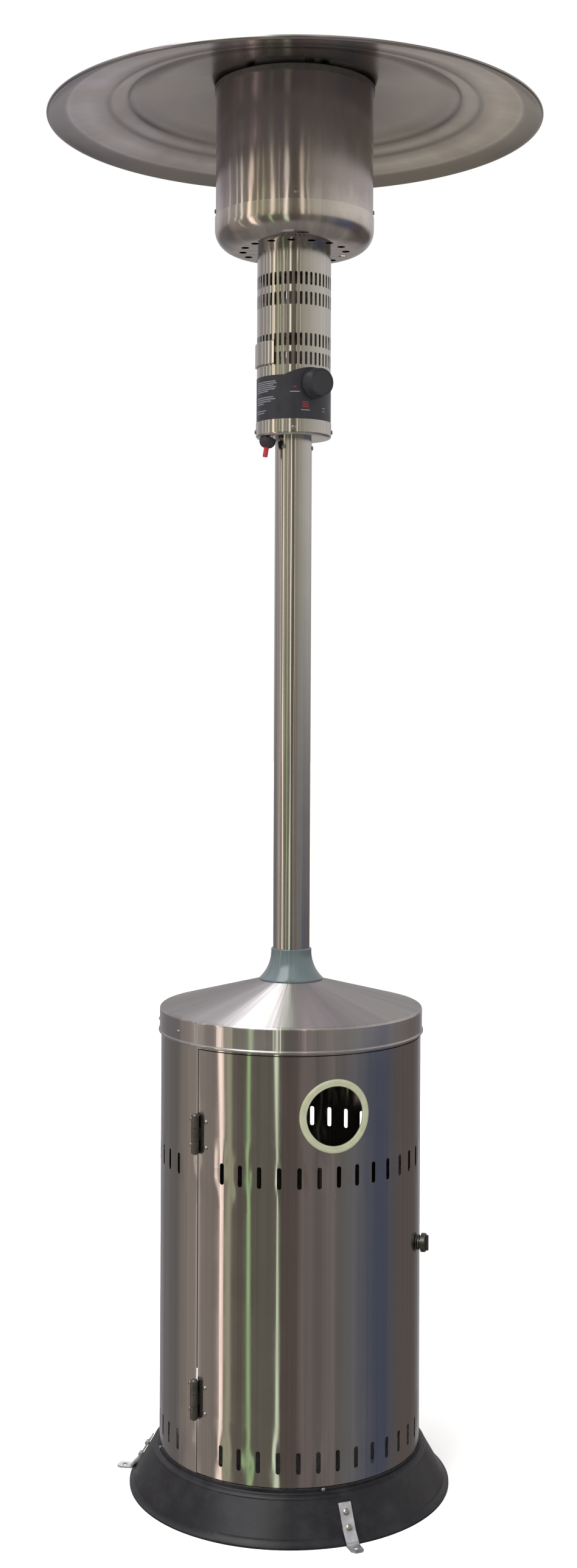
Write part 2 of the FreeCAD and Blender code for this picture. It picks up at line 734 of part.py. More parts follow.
def curved_ring(label, outer, inner, near, far):
    """A ring facing -Y whose faces follow the round housing."""
    flat = subtract(
        f"{label}_flat",
        rod(f"{label}_blank", outer, "150", "250", "porthole_height"),
        rod(f"{label}_hole", inner, "140", "260", "porthole_height"),
    )
    wall = tube(f"{label}_wall", near, far, "porthole_height - 80", "porthole_height + 80")
    return overlap(label, flat, wall)


def build_porthole_trim():
    pieces = [
        curved_ring("trim_face", "trim_outer", "trim_inner", "tank_radius", "tank_radius + 2.4"),
        curved_ring("trim_neck", "porthole_radius", "trim_inner", "tank_radius - 2.6", "tank_radius + 2.4"),
        curved_ring("trim_lip", "trim_outer - 3", "trim_inner", "tank_radius - 2.6", "tank_radius - gauge"),
    ]
    finish_part(join("porthole_trim", pieces), "porthole_trim")


def hinge_leaf(label, middle, side, spans, bore):
    """Knuckles on the hinge line, a web that passes through the gap and a leaf inside the wall."""
    near, thick, far = "leaf_gap", "leaf_gap + web_gauge", "leaf_width"
    web_sides, leaf_sides = (near, thick), (near, far)
    if side == "shell":
        web_sides, leaf_sides = (f"-({thick})", f"-{near}"), (f"-{far}", f"-{near}")
    inner = "tank_radius - 2.2"
    pieces = []
    for number, (low, high) in enumerate(spans):
        height = f"{high} - ({low})"
        knuckle = part("Cylinder", f"{label}_knuckle_{number}", Radius="barrel_radius", Height=height)
        knuckle.setExpression("Placement.Base.y", bound("-hinge_radius"))
        knuckle.setExpression("Placement.Base.z", bound(low))
        web = box(f"{label}_web_{number}", *web_sides, inner, "hinge_radius - 3.6", low, high)
        pieces += [knuckle, web]
    low, high = "-hinge_length / 2", "hinge_length / 2"
    slab = box(f"{label}_slab", *leaf_sides, "tank_radius - 60", "tank_radius + 40", low, high)
    wall = tube(f"{label}_wall", inner, "tank_radius - gauge", low, high)
    pieces.append(overlap(f"{label}_leaf", slab, wall))
    hole = part("Cylinder", f"{label}_bore", Radius=bore, Height="hinge_length")
    hole.setExpression("Placement.Base.y", bound("-hinge_radius"))
    hole.setExpression("Placement.Base.z", bound("-hinge_length / 2"))
    finish_part(subtract(label, join(f"{label}_blank", pieces), hole), label, middle, "hinge_heading")


def build_hinges():
    ends = [("-hinge_length / 2", "-knuckle_half - 0.4"), ("knuckle_half + 0.4", "hinge_length / 2")]
    middle_span = [("-knuckle_half", "knuckle_half")]
    wide, medium, narrow = "barrel_radius - 1", "barrel_radius - 1.4", "barrel_radius - 2.6"
    for name, middle in (("lower", "low_hinge"), ("upper", "high_hinge")):
        hinge_leaf(f"hinge_leaf_fixed_{name}", middle, "shell", ends, "pin_radius")
        hinge_leaf(f"hinge_leaf_door_{name}", middle, "door", middle_span, "pin_radius + running_gap")
        shank = part("Cylinder", f"pin_{name}_shank", Radius="pin_radius", Height="hinge_length")
        shank.setExpression("Placement.Base.z", bound("-hinge_length / 2"))
        cap = part("Cone", f"pin_{name}_cap", Radius1=wide, Radius2=narrow, Height="3")
        cap.setExpression("Placement.Base.z", bound("hinge_length / 2"))
        tail = part("Cone", f"pin_{name}_tail", Radius1=narrow, Radius2=medium, Height="2")
        tail.setExpression("Placement.Base.z", bound("-hinge_length / 2 - 2"))
        pin = join(f"hinge_pin_{name}", [shank, cap, tail])
        finish_part(pin, f"hinge_pin_{name}", middle)
        spot = heading(size("hinge_heading"), size("hinge_radius"))
        pin.Placement.Base = FreeCAD.Vector(spot.x, spot.y, size(middle))
        pin.setExpression("Placement.Base.x", bound("hinge_radius * sin(hinge_heading * 1 deg)"))
        pin.setExpression("Placement.Base.y", bound("-hinge_radius * cos(hinge_heading * 1 deg)"))


def build_door_screws():
    fasteners("door_screws", 3.2, 1.8, 1.5, 4.2, leaf_seats("hinge_heading + leaf_screw_turn"))


def build_latch():
    """Quarter-turn cam latch: bush and nut on the door, round knob with a finger bar, cam inside."""
    flange = rod("latch_flange", "12", "tank_radius + 0.2", "tank_radius + 2.6", "0")
    barrel = rod("latch_barrel_rod", "latch_barrel", "tank_radius - 8", "tank_radius + 1", "0")
    bore = rod("latch_bore", "latch_shaft + running_gap", "tank_radius - 9", "tank_radius + 4", "0")
    bush = subtract("latch_bush", join("latch_bush_blank", [flange, barrel]), bore)
    finish_part(bush, "latch_bush", "latch_height", "latch_heading")

    hexagon = doc.addObject("Part::Prism", "latch_nut_blank")
    hexagon.Polygon = 6
    hexagon.setExpression("Circumradius", bound("latch_barrel + 3.5"))
    hexagon.setExpression("Height", "4")
    hexagon.Placement = outward("0", "tank_radius - 5.6")
    hexagon.setExpression("Placement.Base.y", bound("5.6 - tank_radius"))
    nut_bore = rod("latch_nut_bore", "latch_barrel", "tank_radius - 7", "tank_radius", "0")
    finish_part(subtract("latch_nut", hexagon, nut_bore), "latch_nut", "latch_height", "latch_heading")

    shaft = rod("latch_shaft_rod", "latch_shaft", "tank_radius - 12", "tank_radius + 4", "0")
    hub = rod("latch_hub", "9.5", "tank_radius + 3", "tank_radius + 7", "0")
    grip = rod("latch_grip", "15", "tank_radius + 5.5", "tank_radius + 13", "0")
    rounding = part("Fillet", "latch_grip_rounded")
    rounding.Base = grip
    rounding.Edges = [(edge, 1.6, 1.6) for edge in (1, 3)]
    bar = box("latch_finger_bar", "-2.8", "2.8", "tank_radius + 12", "tank_radius + 17", "-12", "12")
    finish_part(join("latch_knob", [shaft, hub, rounding, bar]), "latch_knob", "latch_height", "latch_heading")

    cam = box("latch_cam_bar", "-6.5", "6.5", "tank_radius - 11.5", "tank_radius - 9.5", "-27", "7")
    cam_bore = rod("latch_cam_bore", "latch_shaft", "tank_radius - 13", "tank_radius - 8", "0")
    finish_part(subtract("latch_cam", cam, cam_bore), "latch_cam", "latch_height", "latch_heading")


# ---------------------------------------------------------------- burner head

def build_head_base_cup():
    body = new_body("head_base_cup", "pole_top")
    outer = "head_radius + cup_wall"
    revolve(body, [
        ("pole_radius - pole_wall", "0"),
        (f"{outer} - 4.5", "0"),
        (outer, "4.5", "4.5"),
        (outer, "cup_depth"),
        ("head_radius", "cup_depth"),
        ("head_radius", "4.5"),
        (f"{outer} - 4.5", "cup_wall", "-3.2"),
        ("pole_radius - pole_wall", "cup_wall"),
    ])
    hole = circle(body, "XY_Plane", "0", "-igniter_circle", "8.4", "0")
    hole.AttachmentOffset = FreeCAD.Placement(
        FreeCAD.Vector(), FreeCAD.Rotation(FreeCAD.Vector(0, 0, 1), size("igniter_heading"))
    )
    cut(body, hole, "cup_wall + 0.5", backwards=True)


def build_head_spigot():
    """Inner tube that plugs the head into the pole, flanged on the cup's floor."""
    body = new_body("head_spigot", "pole_top - 42")
    tube_outer = "pole_radius - pole_wall"
    revolve(body, [
        (f"{tube_outer} - 1.6", "0"),
        (tube_outer, "0"),
        (tube_outer, "42 + cup_wall"),
        ("pole_radius + 4", "42 + cup_wall"),
        ("pole_radius + 4", "44 + cup_wall"),
        (f"{tube_outer} - 1.6", "44 + cup_wall"),
    ])


def build_head_housing():
    body = new_body("head_housing", "pole_top + cup_wall")
    revolve(body, [
        ("head_radius - gauge", "3.2"),
        ("head_radius", "3.2"),
        ("head_radius", "head_height - cup_wall"),
        ("head_radius - gauge", "head_height - cup_wall"),
    ])
    rows = [f"{middle} - cup_wall" for middle in HEAD_SLOT_ROWS]
    slot = ("head_slot_height", "head_slot_width")
    slots = upright_slots(body, "XZ_Plane", rows, *slot, out="head_radius - 3")
    first = cut(body, slots, "6", backwards=True)
    round_pattern(body, first, "head_slots")
    stem_hole = circle(body, "XZ_Plane", "0", "knob_height - cup_wall", "stem_radius + 3", "knob_heading")
    cut(body, stem_hole, backwards=True)


def build_access_cover():
    """Curved plate over the pilot's lighting port."""
    body = new_body("access_cover", "pole_top + cover_low", "-171")
    revolve(body, [
        ("head_radius", "0"),
        ("head_radius + 1.8", "0"),
        ("head_radius + 3", "1.4", "1.5"),
        ("head_radius + 3", "cover_height - 1.4"),
        ("head_radius + 1.8", "cover_height", "1.5"),
        ("head_radius", "cover_height"),
    ], "cover_arc", midplane=True)


def build_head_liner():
    """Curved sheet welded inside the head, which keeps its heat off the slots at the far side."""
    body = new_body("head_liner", "pole_top + liner_low", "26")
    revolve(body, [
        ("head_radius - 2 * gauge", "0"),
        ("head_radius - gauge", "0"),
        ("head_radius - gauge", "liner_height"),
        ("head_radius - 2 * gauge", "liner_height"),
    ], "liner_arc", midplane=True)


def build_label_panel():
    body = new_body("label_panel", "pole_top", "knob_heading - 90")
    outer = "head_radius + label_gauge"
    revolve(body, [
        ("head_radius", "label_low + 0.4"),
        (outer, "label_low + 0.4"),
        (outer, "label_high"),
        ("head_radius", "label_high"),
    ], "label_arc", midplane=True)
    revolve(body, [
        ("head_radius", "label_high - 1"),
        (outer, "label_high - 1"),
        (outer, "label_crown"),
        ("head_radius", "label_crown"),
    ], "full_turn / 4", midplane=True)
    reach = "sqrt(label_arch ^ 2 - (label_arch - label_crown + label_high) ^ 2)"
    above = outline(body, "YZ_Plane", [
        (f"0 - {reach}", "label_high", "label_arch"),
        ("-head_radius - 10", "label_high"),
        ("-head_radius - 10", "label_crown + 8"),
        ("head_radius + 10", "label_crown + 8"),
        ("head_radius + 10", "label_high"),
        (reach, "label_high"),
        ("0", "label_crown", "label_arch"),
    ])
    cut(body, above, backwards=True)
    cut(body, circle(body, "YZ_Plane", "0", "knob_height", "stem_radius + 3"), backwards=True)


def build_head_screws():
    """Small screws of the pole's top, the polished cup and the emitter's seam."""
    seats = round_seats(POLE_SCREWS, size("pole_radius"), size("pole_top - 15"))
    seats += round_seats(CUP_SCREWS, size("head_radius + cup_wall"), size("pole_top + 11"))
    seats += round_seats(SEAM_SCREWS, size("screen_radius"), size("bowl_low + 65"))
    fasteners("head_screws", 3.6, 2.2, 1.6, 3.4, seats)


# ---------------------------------------------------------------- gas train

def build_gas_valve():
    block = box("valve_block", "-28", "28", "-9", "36", "-18", "18")
    collar = rod("valve_collar", "stem_radius + 5", "34", "48", "0")
    outlet = part("Cylinder", "valve_outlet", Radius="8", Height="6")
    outlet.setExpression("Placement.Base.z", "18")
    inlet = part("Cylinder", "valve_inlet", Radius="8", Height="4")
    inlet.setExpression("Placement.Base.z", "-22")
    bore = rod("valve_bore", "stem_radius + running_gap", "23", "52", "0")
    valve = subtract("gas_valve", join("valve_blank", [block, collar, outlet, inlet]), bore)
    finish_part(valve, "gas_valve", "pole_top + knob_height", "knob_heading")


def build_gas_inlet():
    """Hose barb under the valve, where the gas hose comes up the pole."""
    body = new_body("gas_inlet", "pole_top + knob_height - 48")
    revolve(body, [
        ("2", "0"),
        ("3.6", "0"),
        ("4.8", "4"),
        ("3.9", "4"),
        ("4.8", "8.5"),
        ("3.9", "8.5"),
        ("4.8", "13"),
        ("3.9", "13"),
        ("3.9", "18"),
        ("7", "18"),
        ("7", "26"),
        ("2", "26"),
    ])


def build_gas_jet():
    ring("outlet_pipe", "3.2", "5", "0", "58", "pole_top + knob_height + 24")
    body = new_body("gas_jet", "pole_top + knob_height + 82")
    revolve(body, [
        ("0.9", "14"),
        ("0.9", "2"),
        ("3", "0"),
        ("7", "0"),
        ("7", "9"),
        ("3.4", "14"),
    ])


def build_mixing_tube():
    body = new_body("mixing_tube", "bowl_low - 140")
    revolve(body, [
        ("mixer_bore + 5", "0"),
        ("mixer_bore + 6.2", "0"),
        ("mixer_bore + 1.2", "16", "-32"),
        ("mixer_bore + 1.2", "180"),
        ("mixer_bore", "180"),
        ("mixer_bore", "16"),
        ("mixer_bore + 5", "0.4", "32"),
    ])


def build_burner_plate():
    """Plate across the head that centres the mixing tube."""
    body = new_body("burner_plate", "bowl_low - 30")
    revolve(body, [
        ("mixer_bore + 1.2", "0"),
        ("head_radius - gauge", "0"),
        ("head_radius - gauge", "1.5"),
        ("mixer_bore + 1.2", "1.5"),
    ])
    first = cut(body, circle(body, "XY_Plane", "0", "-30", "9"), "2", backwards=True)
    round_pattern(body, first, "6")


def build_burner_head():
    """Closed burner drum with ports round its rim."""
    body = new_body("burner_head", "bowl_low + 40")
    revolve(body, [
        ("mixer_bore + 1.2", "0"),
        ("mixer_bore + 2.4", "0"),
        ("burner_radius - 6", "5"),
        ("burner_radius", "11", "6.5"),
        ("burner_radius", "30"),
        ("burner_radius - 6", "36", "6.2"),
        ("0", "37"),
        ("0", "35.8"),
        ("burner_radius - 6.4", "34.8"),
        ("burner_radius - 1.2", "29.6", "-5.2"),
        ("burner_radius - 1.2", "11.4"),
        ("burner_radius - 6.4", "6.2", "-5.2"),
        ("mixer_bore + 1.2", "1.3"),
    ])
    port = circle(body, "XZ_Plane", "0", "20", "2.5", out="burner_radius - 4")
    first = cut(body, port, "8", backwards=True)
    round_pattern(body, first, "36")


def bent_tube(label, turn, foot, top, low, bend_low, bend_high, high, radius):
    """A thin tube that rises, leans outwards through two bends and rises again."""
    body = new_body(label, "0", turn)
    route = new_sketch(body, "XZ_Plane")
    corners = [(foot, low), (foot, bend_low), (top, bend_high), (top, high)]
    points = [FreeCAD.Vector(size(across), size(up), 0) for across, up in corners]
    for index in range(3):
        route.addGeometry(Part.LineSegment(points[index], points[index + 1]), False)
    for index in range(2):
        route.addConstraint(Sketcher.Constraint("Coincident", index, 2, index + 1, 1))
    for index, (across, up) in enumerate(corners[:3]):
        hold(route, index, 1, across, up)
    hold(route, 2, 2, *corners[3])
    profile = circle(body, "XY_Plane", foot, "0", radius)
    profile.AttachmentOffset = FreeCAD.Placement(FreeCAD.Vector(0, 0, size(low)), FreeCAD.Rotation())
    pipe = body.newObject("PartDesign::AdditivePipe", f"{label}_pipe")
    pipe.Profile = profile
    pipe.Spine = (route, ["Edge1", "Edge2", "Edge3"])
    pipe.Transition = "Round corner"
    body.Tip = pipe


def build_pilot():
    across = ("24", "burner_radius + 9")
    rise = ("pole_top + knob_height + 18", "bowl_low + 6", "bowl_low + 32")
    bent_tube("pilot_tube", "-30", *across, *rise, "bowl_low + 62", "2")
    bent_tube("thermocouple", "30", *across, *rise, "bowl_low + 74", "1.6")
    body = new_body("ignition_electrode", "bowl_low + bowl_gauge")
    for radius, length in (("6", "4"), ("3.5", "46"), ("1", "64")):
        pad(body, circle(body, "XY_Plane", "burner_radius + 12", "0", radius), length)


def build_tilt_switch():
    can = ring("tilt_switch", "0", "9", "0", "22", "pole_top + cup_wall")
    can.setExpression("Placement.Base.x", "-30")
    can.setExpression("Placement.Base.y", "34")


# ---------------------------------------------------------------- control knob

def build_knob():
    at = ("pole_top + knob_height", "knob_heading")
    stem = rod("stem_rod", "stem_radius", "28", "knob_back + 10", "0")
    shoulder = rod("stem_shoulder", "stem_radius + 2.5", "56", "57.5", "0")
    finish_part(join("valve_stem", [stem, shoulder]), "valve_stem", *at)

    washer = rod("collar_disc", "stem_radius + 4", "54.2", "55.7", "0")
    washer_bore = rod("collar_bore", "stem_radius + running_gap", "53", "57", "0")
    finish_part(subtract("stem_collar", washer, washer_bore), "stem_collar", *at)

    body = new_body("control_knob", *at)
    body.Placement = FreeCAD.Placement(
        FreeCAD.Vector(0, 0, size("pole_top + knob_height")),
        FreeCAD.Rotation(FreeCAD.Vector(0, 0, 1), size("knob_heading"))
        * FreeCAD.Rotation(FreeCAD.Vector(1, 0, 0), 90),
    )
    body.setExpression("Placement.Rotation.Angle", None)
    front = "knob_back + knob_depth"
    revolve(body, [
        ("stem_radius", "knob_back"),
        ("knob_radius", "knob_back"),
        ("knob_radius", "knob_back + 4"),
        ("knob_radius - 1.2", "knob_back + 5.2", "1.3"),
        ("knob_radius - 2.4", f"{front} - 2.6"),
        ("knob_radius - 5", front, "2.7"),
        ("knob_radius - 7", f"{front} - 0.6"),
        ("0", f"{front} - 0.6"),
        ("0", "knob_back + 10"),
        ("stem_radius", "knob_back + 10"),
    ])
    flute = circle(body, "XY_Plane", "0", "knob_radius + 1.6", "3")
    start = FreeCAD.Vector(0, 0, size("knob_back + 6.4"))
    flute.AttachmentOffset = FreeCAD.Placement(start, FreeCAD.Rotation())
    first = cut(body, flute, "30", backwards=True)
    round_pattern(body, first, "18")


# ---------------------------------------------------------------- igniter

def igniter_place(item):
    """Stands a piece on the igniter's leaning axis, with the cup's underside at its zero."""
    spot = heading(size("igniter_heading"), size("igniter_circle"))
    out = heading(size("igniter_heading"))
    lean = out.cross(FreeCAD.Vector(0, 0, 1))
    item.Placement = FreeCAD.Placement(
        FreeCAD.Vector(spot.x, spot.y, size("pole_top")), FreeCAD.Rotation(lean, size("igniter_tilt"))
    )


def igniter_body_of(label, corners):
    body = doc.addObject("PartDesign::Body", label)
    body.Label = label
    igniter_place(body)
    body.setExpression("Placement.Base.z", bound("pole_top"))
    nodes.append(body)
    revolve(body, corners)
    return body


def build_igniter():
    bore = "button_radius + running_gap"
    igniter_body_of("igniter_body", [
        (bore, "-0.4"),
        ("7.9", "-0.4"),
        ("7.9", "58"),
        ("6", "60", "2"),
        ("0", "60"),
        ("0", "36"),
        (bore, "36"),
    ])
    igniter_body_of("igniter_boot", [
        (f"{bore} + 0.4", "-boot_reach"),
        ("7.2", "-boot_reach"),
        ("13", "-boot_reach + 8", "12"),
        ("13.4", "-3.2"),
        ("12.6", "-2.6"),
        (f"{bore} + 0.4", "-2.6"),
    ])
    igniter_body_of("igniter_button", [
        ("0", "-button_reach"),
        ("button_radius - 1", "-button_reach"),
        ("button_radius", "-button_reach + 1", "1"),
        ("button_radius", "26"),
        ("0", "26"),
    ])


# ---------------------------------------------------------------- emitter and reflector

def build_emitter_bowl():
    body = new_body("emitter_bowl", "bowl_low")
    flat = "bowl_radius - bowl_corner"
    revolve(body, [
        ("head_radius", "0"),
        (flat, "0"),
        ("bowl_radius", "bowl_corner", "bowl_corner"),
        ("bowl_radius", "bowl_height"),
        ("bowl_radius - bowl_gauge", "bowl_height"),
        ("bowl_radius - bowl_gauge", "bowl_corner"),
        (flat, "bowl_gauge", "-(bowl_corner - bowl_gauge)"),
        ("head_radius", "bowl_gauge"),
    ])
    hole = circle(body, "XY_Plane", "0", "-bowl_hole_circle", "bowl_hole_radius")
    first = cut(body, hole, "bowl_gauge + 1", backwards=True)
    round_pattern(body, first, "bowl_holes")


def build_emitter_screen():
    ring("emitter_screen", "screen_radius - gauge", "screen_radius", "0",
         "screen_top - bowl_low - bowl_height + 12", "bowl_low + bowl_height - 12")


def build_emitter_top_plate():
    """Cap on the screen with a down-turned rim and a ring of exhaust holes."""
    body = new_body("emitter_top_plate", "screen_top")
    revolve(body, [
        ("0", "0"),
        ("screen_radius", "0"),
        ("screen_radius", "-9"),
        ("screen_radius + 2.4", "-9"),
        ("screen_radius + 2.4", "-1"),
        ("screen_radius", "bowl_gauge", "2.4"),
        ("0", "bowl_gauge"),
    ])
    hole = circle(body, "XY_Plane", "0", "-105", "11")
    first = cut(body, hole, "bowl_gauge + 1", backwards=True)
    round_pattern(body, first, "20")
    cut(body, circle(body, "XY_Plane", "0", "0", "40"), "bowl_gauge + 1", backwards=True)


def build_reflector():
    body = new_body("reflector", "rim_height")
    crown = "dish_rise"
    revolve(body, [
        ("0", crown),
        ("100", crown),
        ("137", "dish_rise - 4.4", "-220"),
        ("266", "34.6"),
        ("275", "31", "30"),
        ("292", "28.6"),
        ("302", "25.2", "-30"),
        ("364", "15.4"),
        ("rim_radius - 2.6", "1.3", "-90"),
        ("rim_radius + rim_curl", "rim_curl", "rim_curl"),
        ("rim_radius - 2.77", "rim_curl + 1.6", "rim_curl"),
        ("364", "15.4 + dish_gauge", "90"),
        ("302", "25.2 + dish_gauge"),
        ("292", "28.6 + dish_gauge", "30"),
        ("275", "31 + dish_gauge"),
        ("266", "34.6 + dish_gauge", "-30"),
        ("137", "dish_rise - 4.4 + dish_gauge"),
        ("100", "dish_rise + dish_gauge", "220"),
        ("0", "dish_rise + dish_gauge"),
    ])
    first = cut(body, circle(body, "XY_Plane", "0", "-stud_circle", "stud_radius"), backwards=True)
    round_pattern(body, first, "3")


def on_studs(label, pattern_piece, twist=0):
    """One copy of a piece on each stud's place, kept as one sub-part of separate solids."""
    pieces = []
    for turn in STUDS:
        piece = pattern_piece.copy()
        piece.rotate(FreeCAD.Vector(), FreeCAD.Vector(0, 0, 1), turn + twist)
        piece.translate(heading(turn, size("stud_circle")))
        pieces.append(piece)
    group = doc.addObject("Part::Feature", label)
    group.Shape = Part.makeCompound(pieces)
    group.Label = label
    group.Placement = FreeCAD.Placement()
    group.setExpression("Placement.Base.z", bound("screen_top + bowl_gauge"))
    nodes.append(group)


def turned(corners):
    """A solid of revolution from (radius, height) corners."""
    points = [FreeCAD.Vector(radius, 0, height) for radius, height in corners + corners[:1]]
    section = Part.Face(Part.Wire(Part.makePolygon(points).Edges))
    return section.revolve(FreeCAD.Vector(), FreeCAD.Vector(0, 0, 1), 360)


def wing_nut(bore):
    """Wing nut standing on its own flange: hub, two wings with round ends, bore."""
    hub = Part.makeCylinder(6, 7)
    flange = Part.makeCylinder(8, 1.5)
    wings = Part.makeBox(21, 2, 9, FreeCAD.Vector(-10.5, -1, 2))
    tip = Part.makeCylinder(4.5, 2, FreeCAD.Vector(0, -1, 6.5), FreeCAD.Vector(0, 1, 0))
    tips = [tip.translated(FreeCAD.Vector(side * 10.5, 0, 0)) for side in (-1, 1)]
    blank = hub.fuse([flange, wings] + tips)
    return blank.cut(Part.makeCylinder(bore, 20, FreeCAD.Vector(0, 0, -2))).removeSplitter()


def build_reflector_mounts():
    stud = size("stud_radius")
    seat = size("rim_height + dish_rise - screen_top - bowl_gauge")
    tip = seat + 18
    on_studs("reflector_studs", turned([(0, 0), (stud, 0), (stud, tip - 1), (stud - 0.8, tip), (0, tip)]))
    on_studs("reflector_spacers", turned([(stud, 0), (7, 0), (7, seat), (stud, seat)]))
    nut = wing_nut(stud)
    nut.translate(FreeCAD.Vector(0, 0, seat + size("dish_gauge")))
    on_studs("wing_nuts", nut, twist=35)


# ---------------------------------------------------------------- whole heater

BASE = [build_base_pan, build_floor_plate, build_anchor_brackets, build_bracket_screws]
HOUSING = [build_housing_shell, build_latch_strike, build_support_posts, build_lid, build_housing_screws]
POLE = [build_pole_seat, build_seat_bolts, build_pole, build_collar]
DOOR = [build_door_panel, build_porthole_trim, build_hinges, build_door_screws, build_latch]
HEAD = [build_head_base_cup, build_head_spigot, build_head_housing, build_access_cover]
HEAD += [build_head_liner, build_label_panel, build_head_screws]
GAS_TRAIN = [build_gas_valve, build_gas_inlet, build_gas_jet, build_mixing_tube, build_burner_plate]
GAS_TRAIN += [build_burner_head, build_pilot, build_tilt_switch]
CONTROLS = [build_knob, build_igniter]
TOP = [build_emitter_bowl, build_emitter_screen, build_emitter_top_plate]
TOP += [build_reflector, build_reflector_mounts]


def faults():
    """Everything that failed to compute, by name."""
    bad = [item.Label for item in doc.Objects if "Invalid" in item.State or "Error" in item.State]
    bad += [node.Label for node in nodes if node.Shape.isNull() or not node.Shape.isValid()]
    return bad


def main():
    fill_sheet()
    for build in BASE + HOUSING + POLE + DOOR + HEAD + GAS_TRAIN + CONTROLS + TOP:
        build()
    doc.recompute()
    if faults():
        raise SystemExit(f"failed: {faults()}")
    os.makedirs("parts", exist_ok=True)
    for node in nodes:
        node.Shape.exportStep(f"parts/{node.Label}.step")
        print(node.Label, round(node.Shape.Volume), len(node.Shape.Solids))
    print(len(nodes), "sub-parts")


main()
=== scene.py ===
import json
import math

import bmesh
import bpy
from mathutils import Matrix, Vector


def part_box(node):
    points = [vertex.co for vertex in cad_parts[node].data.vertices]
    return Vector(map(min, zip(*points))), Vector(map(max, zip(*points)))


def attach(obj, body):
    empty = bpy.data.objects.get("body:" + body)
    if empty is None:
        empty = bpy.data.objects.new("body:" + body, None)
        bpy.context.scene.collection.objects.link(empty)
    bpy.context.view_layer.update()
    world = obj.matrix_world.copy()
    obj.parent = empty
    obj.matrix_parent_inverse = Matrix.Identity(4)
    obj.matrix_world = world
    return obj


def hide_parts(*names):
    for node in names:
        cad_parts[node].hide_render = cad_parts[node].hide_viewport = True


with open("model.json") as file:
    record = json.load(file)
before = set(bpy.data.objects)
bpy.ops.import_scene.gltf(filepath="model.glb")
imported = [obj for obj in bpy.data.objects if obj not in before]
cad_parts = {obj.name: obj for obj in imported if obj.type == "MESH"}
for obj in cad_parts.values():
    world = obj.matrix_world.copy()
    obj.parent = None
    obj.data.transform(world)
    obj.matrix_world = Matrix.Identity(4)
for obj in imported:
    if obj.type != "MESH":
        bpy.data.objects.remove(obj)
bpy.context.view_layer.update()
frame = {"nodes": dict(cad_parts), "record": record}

NODES = frame["nodes"]

# The row frame: metres, +Z up, origin on the floor at the middle of the base, door facing -Y.
# A heading is an angle in degrees about +Z, counted from the door (-Y) towards +X.
CAMERA_HEADING = -19.1
CAMERA_DISTANCE = 3.005
CAMERA_HEIGHT = 1.283
LENS = 42.3
LENS_SHIFT = (-0.0025, -0.06)
CAMERA_ROLL = 0.25


def out(heading, radius=1.0, height=0.0):
    angle = math.radians(heading)
    return Vector((radius * math.sin(angle), -radius * math.cos(angle), height))


# ---------------------------------------------------------------- node helpers

class Nodes:
    """Short ways to add nodes to a tree."""

    def __init__(self, tree):
        self.tree = tree

    def link(self, source, target):
        self.tree.links.new(source, target)

    def put(self, socket, value):
        """Feeds a socket with a number, a colour or another node's output."""
        if isinstance(value, (int, float)):
            socket.default_value = value
        elif isinstance(value, tuple):
            socket.default_value = (*value, 1)
        else:
            self.link(value, socket)

    def node(self, kind, **settings):
        made = self.tree.nodes.new(kind)
        for name, value in settings.items():
            setattr(made, name, value)
        return made

    def math(self, operation, *values):
        made = self.node("ShaderNodeMath", operation=operation)
        for socket, value in zip(made.inputs, values):
            self.put(socket, value)
        return made.outputs[0]

    def split(self, vector):
        made = self.node("ShaderNodeSeparateXYZ")
        self.link(vector, made.inputs[0])
        return made.outputs

    def mix(self, factor, first, second, blend="MIX"):
        """Colour mixed by a factor; each side is a colour or another node's output."""
        made = self.node("ShaderNodeMix", data_type="RGBA", blend_type=blend)
        self.put(made.inputs["Factor"], factor)
        self.put(made.inputs[6], first)
        self.put(made.inputs[7], second)
        return made.outputs[2]

    def ramp(self, factor, tones):
        """Colours by position from 0 to 1."""
        made = self.node("ShaderNodeValToRGB")
        stops = made.color_ramp.elements
        for stop, (position, colour) in zip(stops, (tones[0], tones[-1])):
            stop.position, stop.color = position, (*colour, 1)
        for position, colour in tones[1:-1]:
            stops.new(position).color = (*colour, 1)
        self.link(factor, made.inputs[0])
        return made.outputs[0]


def scaled(tone, share):
    return tuple(value * share for value in tone)


